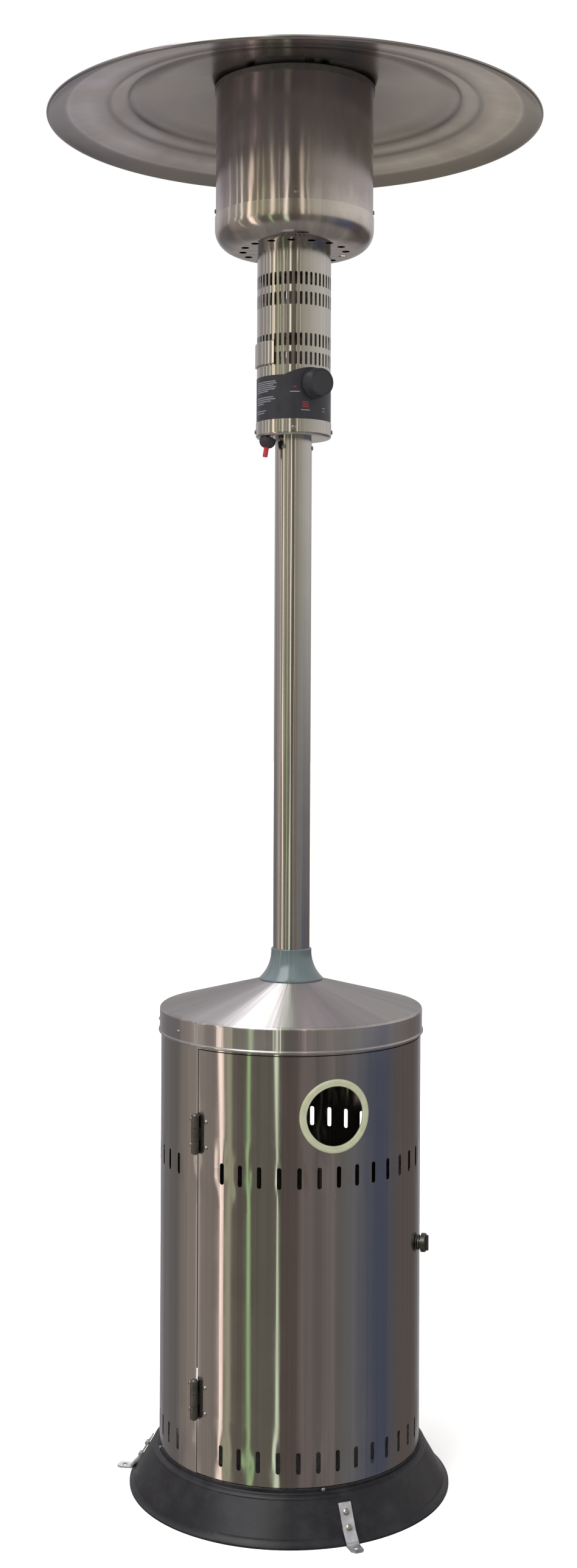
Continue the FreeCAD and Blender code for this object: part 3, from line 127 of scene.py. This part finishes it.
class Shader(Nodes):
    """A new material with a Principled BSDF."""

    def __init__(self, name, colour, metallic, roughness, **sockets):
        self.material = bpy.data.materials.new(name)
        self.material.use_nodes = True
        super().__init__(self.material.node_tree)
        self.bsdf = self.tree.nodes["Principled BSDF"]
        self.set("Base Color", (*colour, 1))
        self.set("Metallic", metallic)
        self.set("Roughness", roughness)
        for socket, value in sockets.items():
            self.set(socket.replace("_", " "), value)

    def set(self, socket, value):
        self.bsdf.inputs[socket].default_value = value

    def feed(self, socket, source):
        self.link(source, self.bsdf.inputs[socket])

    def brush_round(self):
        """Lays the polishing lines round the Z axis, so that highlights spread across them."""
        tangent = self.node("ShaderNodeTangent", direction_type="RADIAL", axis="Z")
        self.feed("Tangent", tangent.outputs[0])

    def place(self):
        return self.node("ShaderNodeTexCoord").outputs["Object"]

    def wrapped(self, around, radial, along):
        """Coordinates that run round the Z axis, out from it and along it, each with its own scale."""
        x, y, z = self.split(self.place())
        angle = self.math("ARCTAN2", x, y)
        squares = self.math("ADD", self.math("MULTIPLY", x, x), self.math("MULTIPLY", y, y))
        radius = self.math("SQRT", squares)
        joined = self.node("ShaderNodeCombineXYZ")
        for value, scale, socket in zip((angle, radius, z), (around, radial, along), joined.inputs):
            self.link(self.math("MULTIPLY", value, scale), socket)
        return joined.outputs[0]

    def noise(self, vector, scale, detail=4.0, roughness=0.55, distortion=0.0):
        made = self.node("ShaderNodeTexNoise")
        self.link(vector, made.inputs["Vector"])
        for name, value in (
            ("Scale", scale), ("Detail", detail), ("Roughness", roughness), ("Distortion", distortion)
        ):
            made.inputs[name].default_value = value
        return made.outputs["Fac"]

    def spread(self, factor, low, high, start=0.3, end=0.7):
        """The factor's range start to end mapped to low to high."""
        made = self.node("ShaderNodeMapRange")
        self.link(factor, made.inputs["Value"])
        for name, value in (("From Min", start), ("From Max", end), ("To Min", low), ("To Max", high)):
            made.inputs[name].default_value = value
        return made.outputs[0]

    def bump(self, height, distance, strength=1.0, before=None):
        made = self.node("ShaderNodeBump")
        made.inputs["Distance"].default_value = distance
        made.inputs["Strength"].default_value = strength
        self.link(height, made.inputs["Height"])
        if before is not None:
            self.link(before, made.inputs["Normal"])
        return made.outputs[0]


# ---------------------------------------------------------------- materials

# Heights of the housing's slot rows, where punching has left the sheet uneven.
SLOT_ROWS = (0.109, 0.541)
DENT_DEPTH = 0.0017
DENT_REACH = (0.055, 0.008)


def rolled_steel(name, tone, roughness, waviness, dents=(), brushing=0.9):
    """Bright sheet rolled into a tube: polishing lines round it, and slow waves that bend reflections."""
    steel = Shader(name, tone, 1.0, roughness, Anisotropic=brushing, Anisotropic_Rotation=0.25)
    steel.brush_round()
    lines = steel.noise(steel.wrapped(3.0, 30.0, 900.0), 1.0, 5.0)
    streaks = steel.noise(steel.wrapped(34.0, 10.0, 0.7), 1.0, 3.0)
    smudges = steel.noise(steel.place(), 9.0, 5.0, 0.6, 0.4)
    dark = scaled(tone, 0.86)
    steel.feed("Base Color", steel.mix(steel.spread(streaks, 0.0, 1.0), dark, tone))
    low, high = roughness - 0.02, roughness + 0.05
    rough = steel.math("ADD", steel.spread(lines, -0.008, 0.008), steel.spread(smudges, low, high))
    steel.feed("Roughness", rough)
    surface = steel.bump(steel.noise(steel.wrapped(2.2, 2.0, 1.6), 1.0, 2.0, 0.4), waviness)
    if dents:
        z = steel.split(steel.place())[2]
        buckles = steel.noise(steel.wrapped(7.0, 1.0, 12.0), 1.0, 1.0)
        near = 0.0
        for height in dents:
            away = steel.math("ABSOLUTE", steel.math("SUBTRACT", z, height))
            near = steel.math("ADD", steel.spread(away, 0.0, 1.0, *DENT_REACH), near)
        surface = steel.bump(steel.math("MULTIPLY", buckles, near), DENT_DEPTH, 1.0, surface)
    steel.feed("Normal", surface)
    return steel.material


def plated_steel(name, tone, roughness):
    """Small plated fasteners and straps: a dull bloom and fine scratches."""
    plate = Shader(name, tone, 1.0, roughness)
    place = plate.place()
    bloom = plate.noise(place, 90.0, 6.0, 0.65)
    scratches = plate.noise(place, 900.0, 2.0)
    plate.feed("Base Color", plate.mix(plate.spread(bloom, 0.0, 1.0), scaled(tone, 0.72), tone))
    plate.feed("Roughness", plate.spread(bloom, roughness - 0.08, roughness + 0.14))
    plate.feed("Normal", plate.bump(scratches, 0.00004))
    return plate.material


# Painted reflection and shade on the reflector, by radius in metres: dull crown, painted highlight lines at
# the pressed ring, a brighter band and a darker rim.
DISC_PAINTED_REFLECTION = [
    (0.00, 0.52), (0.13, 0.56), (0.25, 0.86), (0.264, 1.06), (0.269, 0.48), (0.275, 1.02), (0.296, 1.12),
    (0.302, 0.50), (0.309, 1.02), (0.335, 1.36), (0.362, 1.16), (0.368, 1.34), (0.372, 0.68), (0.400, 0.66),
]


def satin_disc(name, tone):
    """Spun sheet: concentric lines round the middle, rings of painted reflection and shade, and cloudy
    bloom.
    """
    disc = Shader(name, tone, 1.0, 0.3, Anisotropic=0.6, Anisotropic_Rotation=0.25)
    disc.brush_round()
    radius = disc.split(disc.wrapped(1.0, 1.0, 1.0))[1]
    # Painted reflection: the rings make the colour brighter and darker by radius, with painted highlight
    # lines at the pressed bead.
    rings = disc.ramp(radius, [(at, scaled(tone, shade)) for at, shade in DISC_PAINTED_REFLECTION])
    straw = disc.spread(disc.split(disc.place())[0], 0.0, 1.0, -0.35, 0.35)
    tint = disc.mix(straw, (0.96, 0.94, 1.06), (1.08, 1.0, 0.86))
    shaded = disc.mix(1.0, rings, tint, "MULTIPLY")
    spin = disc.noise(disc.wrapped(0.6, 1400.0, 200.0), 1.0, 4.0)
    sectors = disc.noise(disc.wrapped(4.0, 2.0, 0.0), 1.0, 3.0)
    cloud = disc.noise(disc.place(), 5.0, 6.0, 0.6, 0.8)
    bloom = disc.math("MULTIPLY", disc.spread(cloud, 0.2, 0.8), disc.spread(sectors, 0.2, 1.0))
    dark = disc.mix(disc.spread(sectors, 0.0, 1.0), (0.30, 0.265, 0.285), (0.46, 0.41, 0.34))
    disc.feed("Base Color", disc.mix(bloom, shaded, dark))
    rough = disc.math("ADD", disc.spread(cloud, 0.17, 0.27), disc.spread(spin, -0.03, 0.03))
    disc.feed("Roughness", rough)
    disc.feed("Normal", disc.bump(spin, 0.00002))
    return disc.material


def spun_lid(name, tone):
    """Spun lid: its slope spreads highlights into sectors, and its skirt mirrors like the housing."""
    lid = Shader(name, tone, 1.0, 0.3, Anisotropic=1.0, Anisotropic_Rotation=0.25)
    lid.brush_round()
    facing = lid.split(lid.node("ShaderNodeNewGeometry").outputs["Normal"])
    slope = lid.spread(facing[2], 0.0, 1.0, 0.35, 0.85)
    grain = lid.noise(lid.wrapped(1.0, 1600.0, 30.0), 1.0, 3.0)
    sectors = lid.noise(lid.wrapped(9.0, 2.0, 1.0), 1.0, 3.0)
    shade = lid.spread(sectors, 0.0, 1.0)
    lid.feed("Base Color", lid.mix(shade, scaled(tone, 0.88), tone))
    rough = lid.math("ADD", lid.spread(slope, 0.21, 0.44, 0.0, 1.0), lid.spread(grain, -0.02, 0.02))
    lid.feed("Roughness", rough)
    lid.feed("Normal", lid.bump(grain, 0.00001, 1.0, lid.bump(sectors, 0.0006)))
    return lid.material


def heated_steel(name, tone, upper_tone, above):
    """Polished sheet given another tone above a height, with an uneven edge: partly heat stain, partly
    painted shade and painted reflection.
    """
    steel = Shader(name, tone, 1.0, 0.12, Anisotropic=0.7, Anisotropic_Rotation=0.25)
    steel.brush_round()
    ragged = steel.noise(steel.wrapped(5.0, 1.0, 14.0), 1.0, 5.0, 0.6)
    height = steel.math("ADD", steel.split(steel.place())[2], steel.spread(ragged, -0.012, 0.012))
    # Painted light: the band above the height is partly heat stain, partly painted shade and painted
    # reflection.
    stain_and_painted_light = steel.spread(height, 0.0, 1.0, above - 0.012, above + 0.03)
    clouds = steel.noise(steel.wrapped(3.0, 4.0, 6.0), 1.0, 6.0, 0.65)
    lower_colour = steel.mix(steel.spread(clouds, 0.0, 1.0), scaled(tone, 0.8), tone)
    upper_colour = steel.mix(steel.spread(clouds, 0.0, 1.0), upper_tone, scaled(upper_tone, 1.25))
    steel.feed("Base Color", steel.mix(stain_and_painted_light, lower_colour, upper_colour))
    rough = steel.math("ADD", steel.spread(clouds, 0.07, 0.11), steel.math("MULTIPLY", stain_and_painted_light, 0.08))
    steel.feed("Roughness", rough)
    waves = steel.noise(steel.wrapped(3.0, 2.0, 5.0), 1.0, 2.0, 0.4)
    steel.feed("Normal", steel.bump(waves, 0.0014))
    return steel.material


def enamel(name, tone, roughness, peel, **sockets):
    """Glossy enamel with a fine orange peel and a little dust."""
    paint = Shader(name, tone, 0.0, roughness, **sockets)
    place = paint.place()
    dust = paint.noise(place, 22.0, 6.0, 0.7)
    pale = tuple(value + 0.01 for value in tone)
    paint.feed("Base Color", paint.mix(paint.spread(dust, 0.0, 1.0, 0.45, 0.75), tone, pale))
    paint.feed("Roughness", paint.spread(dust, roughness - 0.04, roughness + 0.1))
    paint.feed("Normal", paint.bump(paint.noise(place, 260.0, 2.0), peel))
    return paint.material


def moulded(name, tone, roughness, texture, **sockets):
    """Moulded plastic or rubber with a fine grain and slight colour drift."""
    plastic = Shader(name, tone, 0.0, roughness, **sockets)
    place = plastic.place()
    grain = plastic.noise(place, 1500.0, 2.0)
    drift = plastic.noise(place, 60.0, 4.0, 0.6)
    shade = plastic.spread(drift, 0.0, 1.0)
    plastic.feed("Base Color", plastic.mix(shade, scaled(tone, 0.82), tone))
    plastic.feed("Roughness", plastic.spread(drift, roughness - 0.05, roughness + 0.08))
    plastic.feed("Normal", plastic.bump(grain, texture))
    return plastic.material


def make_materials():
    return {
        "brushed_housing": rolled_steel("housing steel", (0.60, 0.575, 0.55), 0.11, 0.0012, SLOT_ROWS),
        "bright_steel": rolled_steel("bright steel", (0.68, 0.665, 0.63), 0.13, 0.0006),
        "collar_enamel": enamel("collar enamel", (0.075, 0.10, 0.105), 0.12, 0.00003, Coat_Weight=0.6),
        "black_enamel": enamel("base enamel", (0.006, 0.006, 0.008), 0.3, 0.00006, Specular_IOR_Level=0.35),
        "zinc_plate": plated_steel("zinc plate", (0.86, 0.90, 0.92), 0.42),
        "screw_steel": plated_steel("screw steel", (0.55, 0.54, 0.52), 0.3),
        "hinge_steel": plated_steel("hinge steel", (0.22, 0.21, 0.20), 0.42),
        "trim_plastic": moulded("porthole trim plastic", (0.30, 0.31, 0.21), 0.34, 0.00002),
        "latch_black": plated_steel("blackened latch", (0.17, 0.165, 0.15), 0.30),
        "label_black": moulded("label film", (0.018, 0.018, 0.023), 0.34, 0.00001),
        "knob_black": moulded("knob black", (0.018, 0.018, 0.022), 0.36, 0.00004),
        "button_red": moulded("button red", (0.30, 0.016, 0.028), 0.3, 0.00001),
        "boot_rubber": moulded("boot rubber", (0.02, 0.018, 0.022), 0.55, 0.0001),
        "inner_steel": plated_steel("inner steel", (0.42, 0.41, 0.39), 0.45),
        "valve_brass": plated_steel("valve brass", (0.72, 0.52, 0.24), 0.32),
        "inner_plastic": moulded("inner insulator", (0.70, 0.67, 0.60), 0.4, 0.00005),
        "reflector_satin": satin_disc("satin reflector", (0.60, 0.59, 0.575)),
        "lid": spun_lid("lid steel", (0.64, 0.62, 0.61)),
        # Emitter darker above 2.054 m and bowl lighter above 2.010 m: partly heat stain, partly painted
        # shade and painted reflection.
        "emitter": heated_steel("heated steel", (0.72, 0.68, 0.65), (0.42, 0.38, 0.38), 2.054),
        "bowl": heated_steel("bowl steel", (0.46, 0.42, 0.39), (0.66, 0.62, 0.58), 2.010),
        "print_grey": moulded("printed grey", (0.15, 0.155, 0.18), 0.4, 0.00001),
        "print_red": moulded("printed red", (0.20, 0.016, 0.016), 0.4, 0.00001),
    }


# Nodes whose finish differs from the rest of their slot.
OWN_FINISH = {"lid_cone": "lid", "emitter_screen": "emitter", "emitter_bowl": "bowl"}


def dress(materials):
    """Gives every CAD node its slot's material, or its own finish."""
    for part in frame["record"]["subparts"]:
        node = NODES[part["node"]]
        node.data.materials.clear()
        node.data.materials.append(materials[OWN_FINISH.get(part["node"], part["material_slot"])])


# ---------------------------------------------------------------- pieces

def new_piece(name, mesh, material, body):
    piece = bpy.data.objects.new(name, mesh)
    bpy.context.scene.collection.objects.link(piece)
    mesh.materials.append(material)
    for face in mesh.polygons:
        face.use_smooth = True
    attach(piece, body)
    return piece


def arc(start, end, radius, steps):
    """Points after start on the minor arc to end; a positive radius turns left."""
    start, end = Vector(start), Vector(end)
    chord = end - start
    left = Vector((-chord.y, chord.x)).normalized()
    lift = math.sqrt(max(radius * radius - chord.length_squared / 4, 0))
    centre = (start + end) / 2 + left * math.copysign(lift, radius)
    first, last = start - centre, end - centre
    sweep = -first.angle_signed(last)
    points = []
    for step in range(1, steps + 1):
        angle = sweep * step / steps
        turned = Vector((
            first.x * math.cos(angle) - first.y * math.sin(angle),
            first.x * math.sin(angle) + first.y * math.cos(angle),
        ))
        points.append(tuple(centre + turned))
    return points


def turned_mesh(name, profile, segments):
    """A closed profile of (radius, height) turned round Z; points on the axis close to one vertex."""
    work = bmesh.new()
    rings = []
    for radius, height in profile:
        if radius < 1e-6:
            rings.append([work.verts.new((0, 0, height))] * segments)
            continue
        headings = [360 * step / segments for step in range(segments)]
        rings.append([work.verts.new(out(heading, radius, height)) for heading in headings])
    for below, above in zip(rings, rings[1:] + rings[:1]):
        for step in range(segments):
            after = (step + 1) % segments
            corners = [below[step], below[after], above[after], above[step]]
            unique = list(dict.fromkeys(corners))
            if len(unique) > 2:
                work.faces.new(unique)
    bmesh.ops.recalc_face_normals(work, faces=work.faces)
    mesh = bpy.data.meshes.new(name)
    work.to_mesh(mesh)
    work.free()
    return mesh


# The disc's pressed bead, as radius and rise above the rim.
DISC_BEAD = (
    (0.270, 0.0352), (0.276, 0.0322), (0.284, 0.0306), (0.292, 0.0296), (0.298, 0.0278), (0.304, 0.0250),
)


def add_reflector(materials):
    """The spun disc: flat crown, shallow cone, pressed bead, steeper outer band and rolled edge."""
    low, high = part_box("reflector")
    floor = low[2]
    curl = 0.0032
    edge = high[0]
    gauge = 0.0012
    crown = high[2] - gauge
    spine = [(0.0, crown), (0.1, crown)]
    spine += arc(spine[-1], (0.137, crown - 0.0044), -0.22, 6)
    spine += [(0.18, floor + 0.05363), (0.225, floor + 0.0460), (0.266, floor + 0.0390)]
    spine += [(radius, floor + rise) for radius, rise in DISC_BEAD]
    spine += [(0.333, floor + 0.0203), (0.364, floor + 0.0154)]
    spine += arc(spine[-1], (edge - curl - 0.0026, floor + 0.0013), -0.09, 8)
    top = [(radius, height + gauge) for radius, height in reversed(spine)]
    middle = (edge - curl, floor + curl)
    roll = []
    for step in range(1, 14):
        angle = math.radians(-125 + 20 * step)
        roll.append((middle[0] + curl * math.cos(angle), middle[1] + curl * math.sin(angle)))
    mesh = turned_mesh("reflector_dish", spine + roll + top, 256)
    piece = new_piece("reflector_dish", mesh, materials["reflector_satin"], "stand")
    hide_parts("reflector")


def add_porthole_ring(materials):
    """Moulded ring that follows the round door, with a rolled face and a step at its inner edge."""
    low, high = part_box("porthole_trim")
    wall = 0.211
    middle = (low[2] + high[2]) / 2
    outer = (high[2] - low[2]) / 2
    inner = 0.04575
    section = [
        (inner, -0.0024), (inner, 0.0008), (inner + 0.0006, 0.0016), (inner + 0.0020, 0.0021),
        (inner + 0.0032, 0.0017), (inner + 0.0042, 0.0018), (inner + 0.0060, 0.0023),
        (outer - 0.0024, 0.0022), (outer - 0.0009, 0.0015), (outer - 0.0001, 0.0003), (outer - 0.0001, 0.0),
        (0.05, 0.0), (0.05, -0.0024),
    ]
    work = bmesh.new()
    rings = []
    steps = 160
    for step in range(steps):
        angle = 2 * math.pi * step / steps
        ring = []
        for radius, lift in section:
            across, up = radius * math.cos(angle), radius * math.sin(angle)
            depth = math.sqrt((wall + lift) ** 2 - across ** 2)
            ring.append(work.verts.new((across, -depth, middle + up)))
        rings.append(ring)
    for here, there in zip(rings, rings[1:] + rings[:1]):
        for index in range(len(section)):
            after = (index + 1) % len(section)
            work.faces.new((here[index], here[after], there[after], there[index]))
    bmesh.ops.recalc_face_normals(work, faces=work.faces)
    mesh = bpy.data.meshes.new("porthole_ring")
    work.to_mesh(mesh)
    work.free()
    piece = new_piece("porthole_ring", mesh, materials["trim_plastic"], "door")
    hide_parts("porthole_trim")


# The label's print: plain bars, by heading in degrees and rise in metres above the label's lower edge.
LABEL_RADIUS = 0.0607
TEXT_LEFT = -92
# Blocks of bars: rise of the first, step down, bar height, and how far round each bar reaches.
TEXT_BLOCKS = (
    (0.0600, 0.0031, 0.0016, (44, 46, 40, 45, 43, 30)),
    (0.0350, 0.0033, 0.0016, (40, 44, 36, 20)),
    (0.0140, 0.0034, 0.0015, (26, 22)),
)
# Single bars: left, right, rise, bar height.
CAPTION_BARS = (
    (-25, -10, 0.0420, 0.0017),
    (-8, 6, 0.0130, 0.0015),
    (30, 37, 0.0180, 0.0015),
    (30, 36, 0.0130, 0.0013),
)
RED_BARS = (
    (-20, -15, 0.0500, 0.0018),
    (-6, 4, 0.0185, 0.0018),
    (-6, 4, 0.0221, 0.0018),
    (-6, 4, 0.0257, 0.0018),
)
BAR_FACE = 4


def bar(left, right, low, high):
    """A bar between two headings, cut into faces of about BAR_FACE degrees so that it follows the curve."""
    count = max(1, round((right - left) / BAR_FACE))
    step = (right - left) / count
    starts = [left + step * i for i in range(count)]
    return [[(at, low), (at + step, low), (at + step, high), (at, high)] for at in starts]


def raised(bars, base):
    """Bars given by rise and height, as (left, right, low, high)."""
    return [(left, right, base + rise, base + rise + tall) for left, right, rise, tall in bars]


def curved_marks(name, bars, materials, material):
    """Thin printed bars on the round label; each is (left, right, low, high)."""
    work = bmesh.new()
    for sides in bars:
        for corners in bar(*sides):
            work.faces.new([work.verts.new(out(at, LABEL_RADIUS, height)) for at, height in corners])
    mesh = bpy.data.meshes.new(name)
    work.to_mesh(mesh)
    work.free()
    new_piece(name, mesh, materials[material], "stand")


def add_label_print(materials):
    """Plain bars where the label carries its print; nothing on it can be read."""
    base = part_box("label_panel")[0][2]
    grey = []
    for first, step, tall, reaches in TEXT_BLOCKS:
        for row, reach in enumerate(reaches):
            low = base + first - step * row
            grey.append((TEXT_LEFT, TEXT_LEFT + reach, low, low + tall))
    grey += raised(CAPTION_BARS, base)
    curved_marks("label_grey_bars", grey, materials, "print_grey")
    curved_marks("label_red_bars", raised(RED_BARS, base), materials, "print_red")


# ---------------------------------------------------------------- studio

# What the bright metal mirrors, tuned against the photo's tones at the camera's angle.
# At and below eye level, by degrees from the camera's heading.
LEVEL_TONES = [
    (-180, (0.42, 0.395, 0.38)),
    (-160, (0.30, 0.29, 0.30)),
    (-146, (0.205, 0.195, 0.21)),
    (-118, (0.18, 0.17, 0.165)),
    (-98, (0.36, 0.31, 0.28)),
    (-76, (0.30, 0.26, 0.24)),
    (-46, (0.15, 0.13, 0.11)),
    (-20, (0.165, 0.155, 0.125)),
    (-3, (0.125, 0.10, 0.09)),
    (5, (0.135, 0.108, 0.10)),
    (12, (0.215, 0.18, 0.17)),
    (18, (0.205, 0.175, 0.17)),
    (24, (0.155, 0.135, 0.13)),
    (35, (0.225, 0.20, 0.19)),
    (44, (0.165, 0.155, 0.148)),
    (56, (0.185, 0.185, 0.20)),
    (72, (0.115, 0.125, 0.165)),
    (84, (0.088, 0.102, 0.158)),
    (93, (0.10, 0.11, 0.155)),
    (102, (0.13, 0.122, 0.14)),
    (110, (0.14, 0.12, 0.113)),
    (138, (0.135, 0.118, 0.11)),
    (150, (0.17, 0.16, 0.16)),
    (162, (0.36, 0.35, 0.36)),
]
# The same a little above eye level, where the surroundings are brighter.
RAISED_TONES = [
    (-180, (0.38, 0.37, 0.37)),
    (-144, (0.53, 0.50, 0.52)),
    (-124, (0.36, 0.33, 0.34)),
    (-108, (0.42, 0.38, 0.38)),
    (-95, (0.28, 0.26, 0.23)),
    (-84, (0.34, 0.31, 0.27)),
    (-70, (0.30, 0.27, 0.22)),
    (-46, (0.24, 0.21, 0.16)),
    (-32, (0.30, 0.26, 0.21)),
    (-20, (0.22, 0.19, 0.16)),
    (-5, (0.18, 0.16, 0.13)),
    (3, (0.15, 0.13, 0.11)),
    (16, (0.24, 0.22, 0.18)),
    (30, (0.44, 0.42, 0.36)),
    (46, (0.50, 0.47, 0.42)),
    (84, (0.62, 0.59, 0.55)),
    (108, (0.66, 0.62, 0.60)),
    (138, (0.58, 0.56, 0.56)),
]
# The ceiling, by degrees round the point behind the object: what each sector of the lid mirrors.
CEILING_TONES = [
    (-90, (0.80, 0.80, 0.84)),
    (-30, (0.75, 0.75, 0.80)),
    (-25, (3.00, 3.00, 3.15)),
    (-8, (3.70, 3.65, 3.60)),
    (-5, (0.90, 0.88, 0.85)),
    (-3, (0.40, 0.40, 0.38)),
    (-2, (0.90, 1.90, 0.70)),
    (-1, (0.40, 0.38, 0.38)),
    (4, (0.90, 0.80, 0.86)),
    (18, (0.40, 0.36, 0.40)),
    (40, (0.48, 0.44, 0.46)),
    (90, (0.55, 0.54, 0.53)),
]
FLOOR_TONE = (0.30, 0.285, 0.27)

# Upward parts of a direction between which one zone of the surround gives way to the next.
LEVEL_TO_RAISED = (-0.12, 0.13)
RAISED_TO_CEILING = (0.40, 0.62)
LEVEL_TO_FLOOR = (-0.42, -0.75)

# Upright light strips: degrees from the camera's heading, half width in degrees and colour.
LEVEL_STRIPS = [
    (-88, 2.2, (0.34, 0.30, 0.26)),
    (-63, 2.9, (1.60, 1.30, 1.16)),
    (-55, 2.4, (0.28, 0.31, 0.19)),
    (-36, 1.5, (0.36, 0.62, 0.27)),
    (-12, 2.0, (0.85, 1.02, 0.76)),
]
RAISED_STRIPS = [
    (-108, 1.8, (0.40, 0.36, 0.35)),
    (-94, 1.4, (0.65, 0.62, 0.60)),
    (-82, 2.0, (0.95, 0.90, 0.84)),
    (-66, 3.0, (1.30, 1.10, 0.90)),
    (-54, 1.2, (0.55, 0.52, 0.36)),
    (-45, 1.3, (0.40, 0.44, 0.30)),
    (-33, 2.2, (0.85, 0.80, 0.66)),
    (-22, 1.2, (0.40, 0.36, 0.30)),
    (-12, 2.2, (1.20, 1.12, 0.98)),
    (11, 2.0, (0.95, 0.82, 0.66)),
    (20, 1.3, (0.35, 0.34, 0.26)),
]


class World(Nodes):
    """The scene's surround."""

    def __init__(self):
        world = bpy.data.worlds.new("studio")
        bpy.context.scene.world = world
        world.use_nodes = True
        super().__init__(world.node_tree)
        self.tree.nodes.clear()

    def ring(self, turns, tones, strips):
        """Colours round the horizon, with light strips on top; the first tone closes the circle."""
        closed = tones + [(180, tones[0][1])]
        ring = self.ramp(turns, [((degrees + 180) / 360, colour) for degrees, colour in closed])
        for degrees, half_width, colour in strips:
            away = self.math("ABSOLUTE", self.math("SUBTRACT", turns, (degrees + 180) / 360))
            inside = self.step(away, 1.5 * half_width / 360, 0.5 * half_width / 360)
            ring = self.mix(inside, ring, colour, "ADD")
        return ring

    def step(self, value, start, end):
        """Smoothly 0 to 1 as the value goes from start to end."""
        made = self.node("ShaderNodeMapRange", interpolation_type="SMOOTHSTEP")
        self.link(value, made.inputs["Value"])
        made.inputs["From Min"].default_value = start
        made.inputs["From Max"].default_value = end
        return made.outputs[0]


def make_world():
    """Studio surround: white to the camera, soft strips and dark flags to everything else."""
    world = World()
    x, y, z = world.split(world.node("ShaderNodeTexCoord").outputs["Generated"])
    heading = world.math("ARCTAN2", x, world.math("MULTIPLY", y, -1.0))
    turned = world.math("SUBTRACT", heading, math.radians(CAMERA_HEADING))
    turns = world.math("FRACT", world.math("MULTIPLY_ADD", turned, 1 / (2 * math.pi), 0.5))
    level = world.ring(turns, LEVEL_TONES, LEVEL_STRIPS)
    raised = world.ring(turns, RAISED_TONES, RAISED_STRIPS)
    turn = Matrix.Rotation(math.radians(CAMERA_HEADING), 3, "Z")
    right, back = turn @ Vector((1, 0, 0)), turn @ Vector((0, 1, 0))
    across = world.math("ADD", world.math("MULTIPLY", x, right.x), world.math("MULTIPLY", y, right.y))
    away = world.math("ADD", world.math("MULTIPLY", x, back.x), world.math("MULTIPLY", y, back.y))
    fan = world.math("ARCTAN2", across, world.math("SUBTRACT", 1.0, away))
    shares = [((degrees + 90) / 180, colour) for degrees, colour in CEILING_TONES]
    overhead = world.ramp(world.math("MULTIPLY_ADD", fan, 1 / math.pi, 0.5), shares)
    rising = world.mix(world.step(z, *LEVEL_TO_RAISED), level, raised)
    rising = world.mix(world.step(z, *RAISED_TO_CEILING), rising, overhead)
    surround = world.node("ShaderNodeBackground")
    world.link(world.mix(world.step(z, *LEVEL_TO_FLOOR), rising, FLOOR_TONE), surround.inputs[0])
    backdrop = world.node("ShaderNodeBackground")
    backdrop.inputs[0].default_value = (1.0, 1.0, 1.0, 1)
    choose = world.node("ShaderNodeMixShader")
    world.link(world.node("ShaderNodeLightPath").outputs["Is Camera Ray"], choose.inputs[0])
    world.link(surround.outputs[0], choose.inputs[1])
    world.link(backdrop.outputs[0], choose.inputs[2])
    world.link(choose.outputs[0], world.node("ShaderNodeOutputWorld").inputs[0])


def make_floor():
    bpy.ops.mesh.primitive_circle_add(vertices=96, radius=30, fill_type="NGON", location=(0, 0, 0))
    floor = bpy.context.object
    floor.name = "floor"
    floor.visible_glossy = False
    pale = Shader("pale floor", (0.86, 0.86, 0.85), 0.0, 0.8)
    floor.data.materials.append(pale.material)


def soft_light(name, heading, distance, height, width, tall, power):
    data = bpy.data.lights.new(name, "AREA")
    data.shape = "RECTANGLE"
    data.size, data.size_y = width, tall
    data.energy = power
    lamp = bpy.data.objects.new(name, data)
    bpy.context.scene.collection.objects.link(lamp)
    lamp.location = out(heading, distance, height)
    aim = Vector((0, 0, 1.1)) - lamp.location
    lamp.rotation_euler = aim.to_track_quat("-Z", "Y").to_euler()
    lamp.visible_glossy = False


def make_lights():
    soft_light("key", -60, 4.5, 3.6, 3.0, 3.0, 90)
    soft_light("fill", 60, 4.5, 2.4, 3.0, 3.0, 60)
    data = bpy.data.lights.new("ceiling", "SUN")
    data.energy = 2.6
    data.angle = math.radians(70)
    ceiling = bpy.data.objects.new("ceiling", data)
    bpy.context.scene.collection.objects.link(ceiling)
    ceiling.rotation_euler = (math.radians(18), math.radians(-14), 0)
    ceiling.visible_glossy = False


def make_camera():
    data = bpy.data.cameras.new("camera")
    data.lens = LENS
    data.sensor_width = 36
    data.shift_x, data.shift_y = LENS_SHIFT
    camera = bpy.data.objects.new("camera", data)
    bpy.context.scene.collection.objects.link(camera)
    camera.location = out(CAMERA_HEADING, CAMERA_DISTANCE, CAMERA_HEIGHT)
    level = (-out(CAMERA_HEADING)).to_track_quat("-Z", "Y").to_matrix().to_4x4()
    roll = Matrix.Rotation(math.radians(CAMERA_ROLL), 4, "Z")
    camera.matrix_world = Matrix.Translation(camera.location) @ level @ roll
    bpy.context.scene.camera = camera


# ---------------------------------------------------------------- whole scene

def main():
    bpy.context.scene.view_settings.view_transform = "Standard"
    materials = make_materials()
    dress(materials)
    add_reflector(materials)
    add_porthole_ring(materials)
    add_label_print(materials)
    make_world()
    make_floor()
    make_lights()
    make_camera()
    bpy.context.view_layer.update()


main()
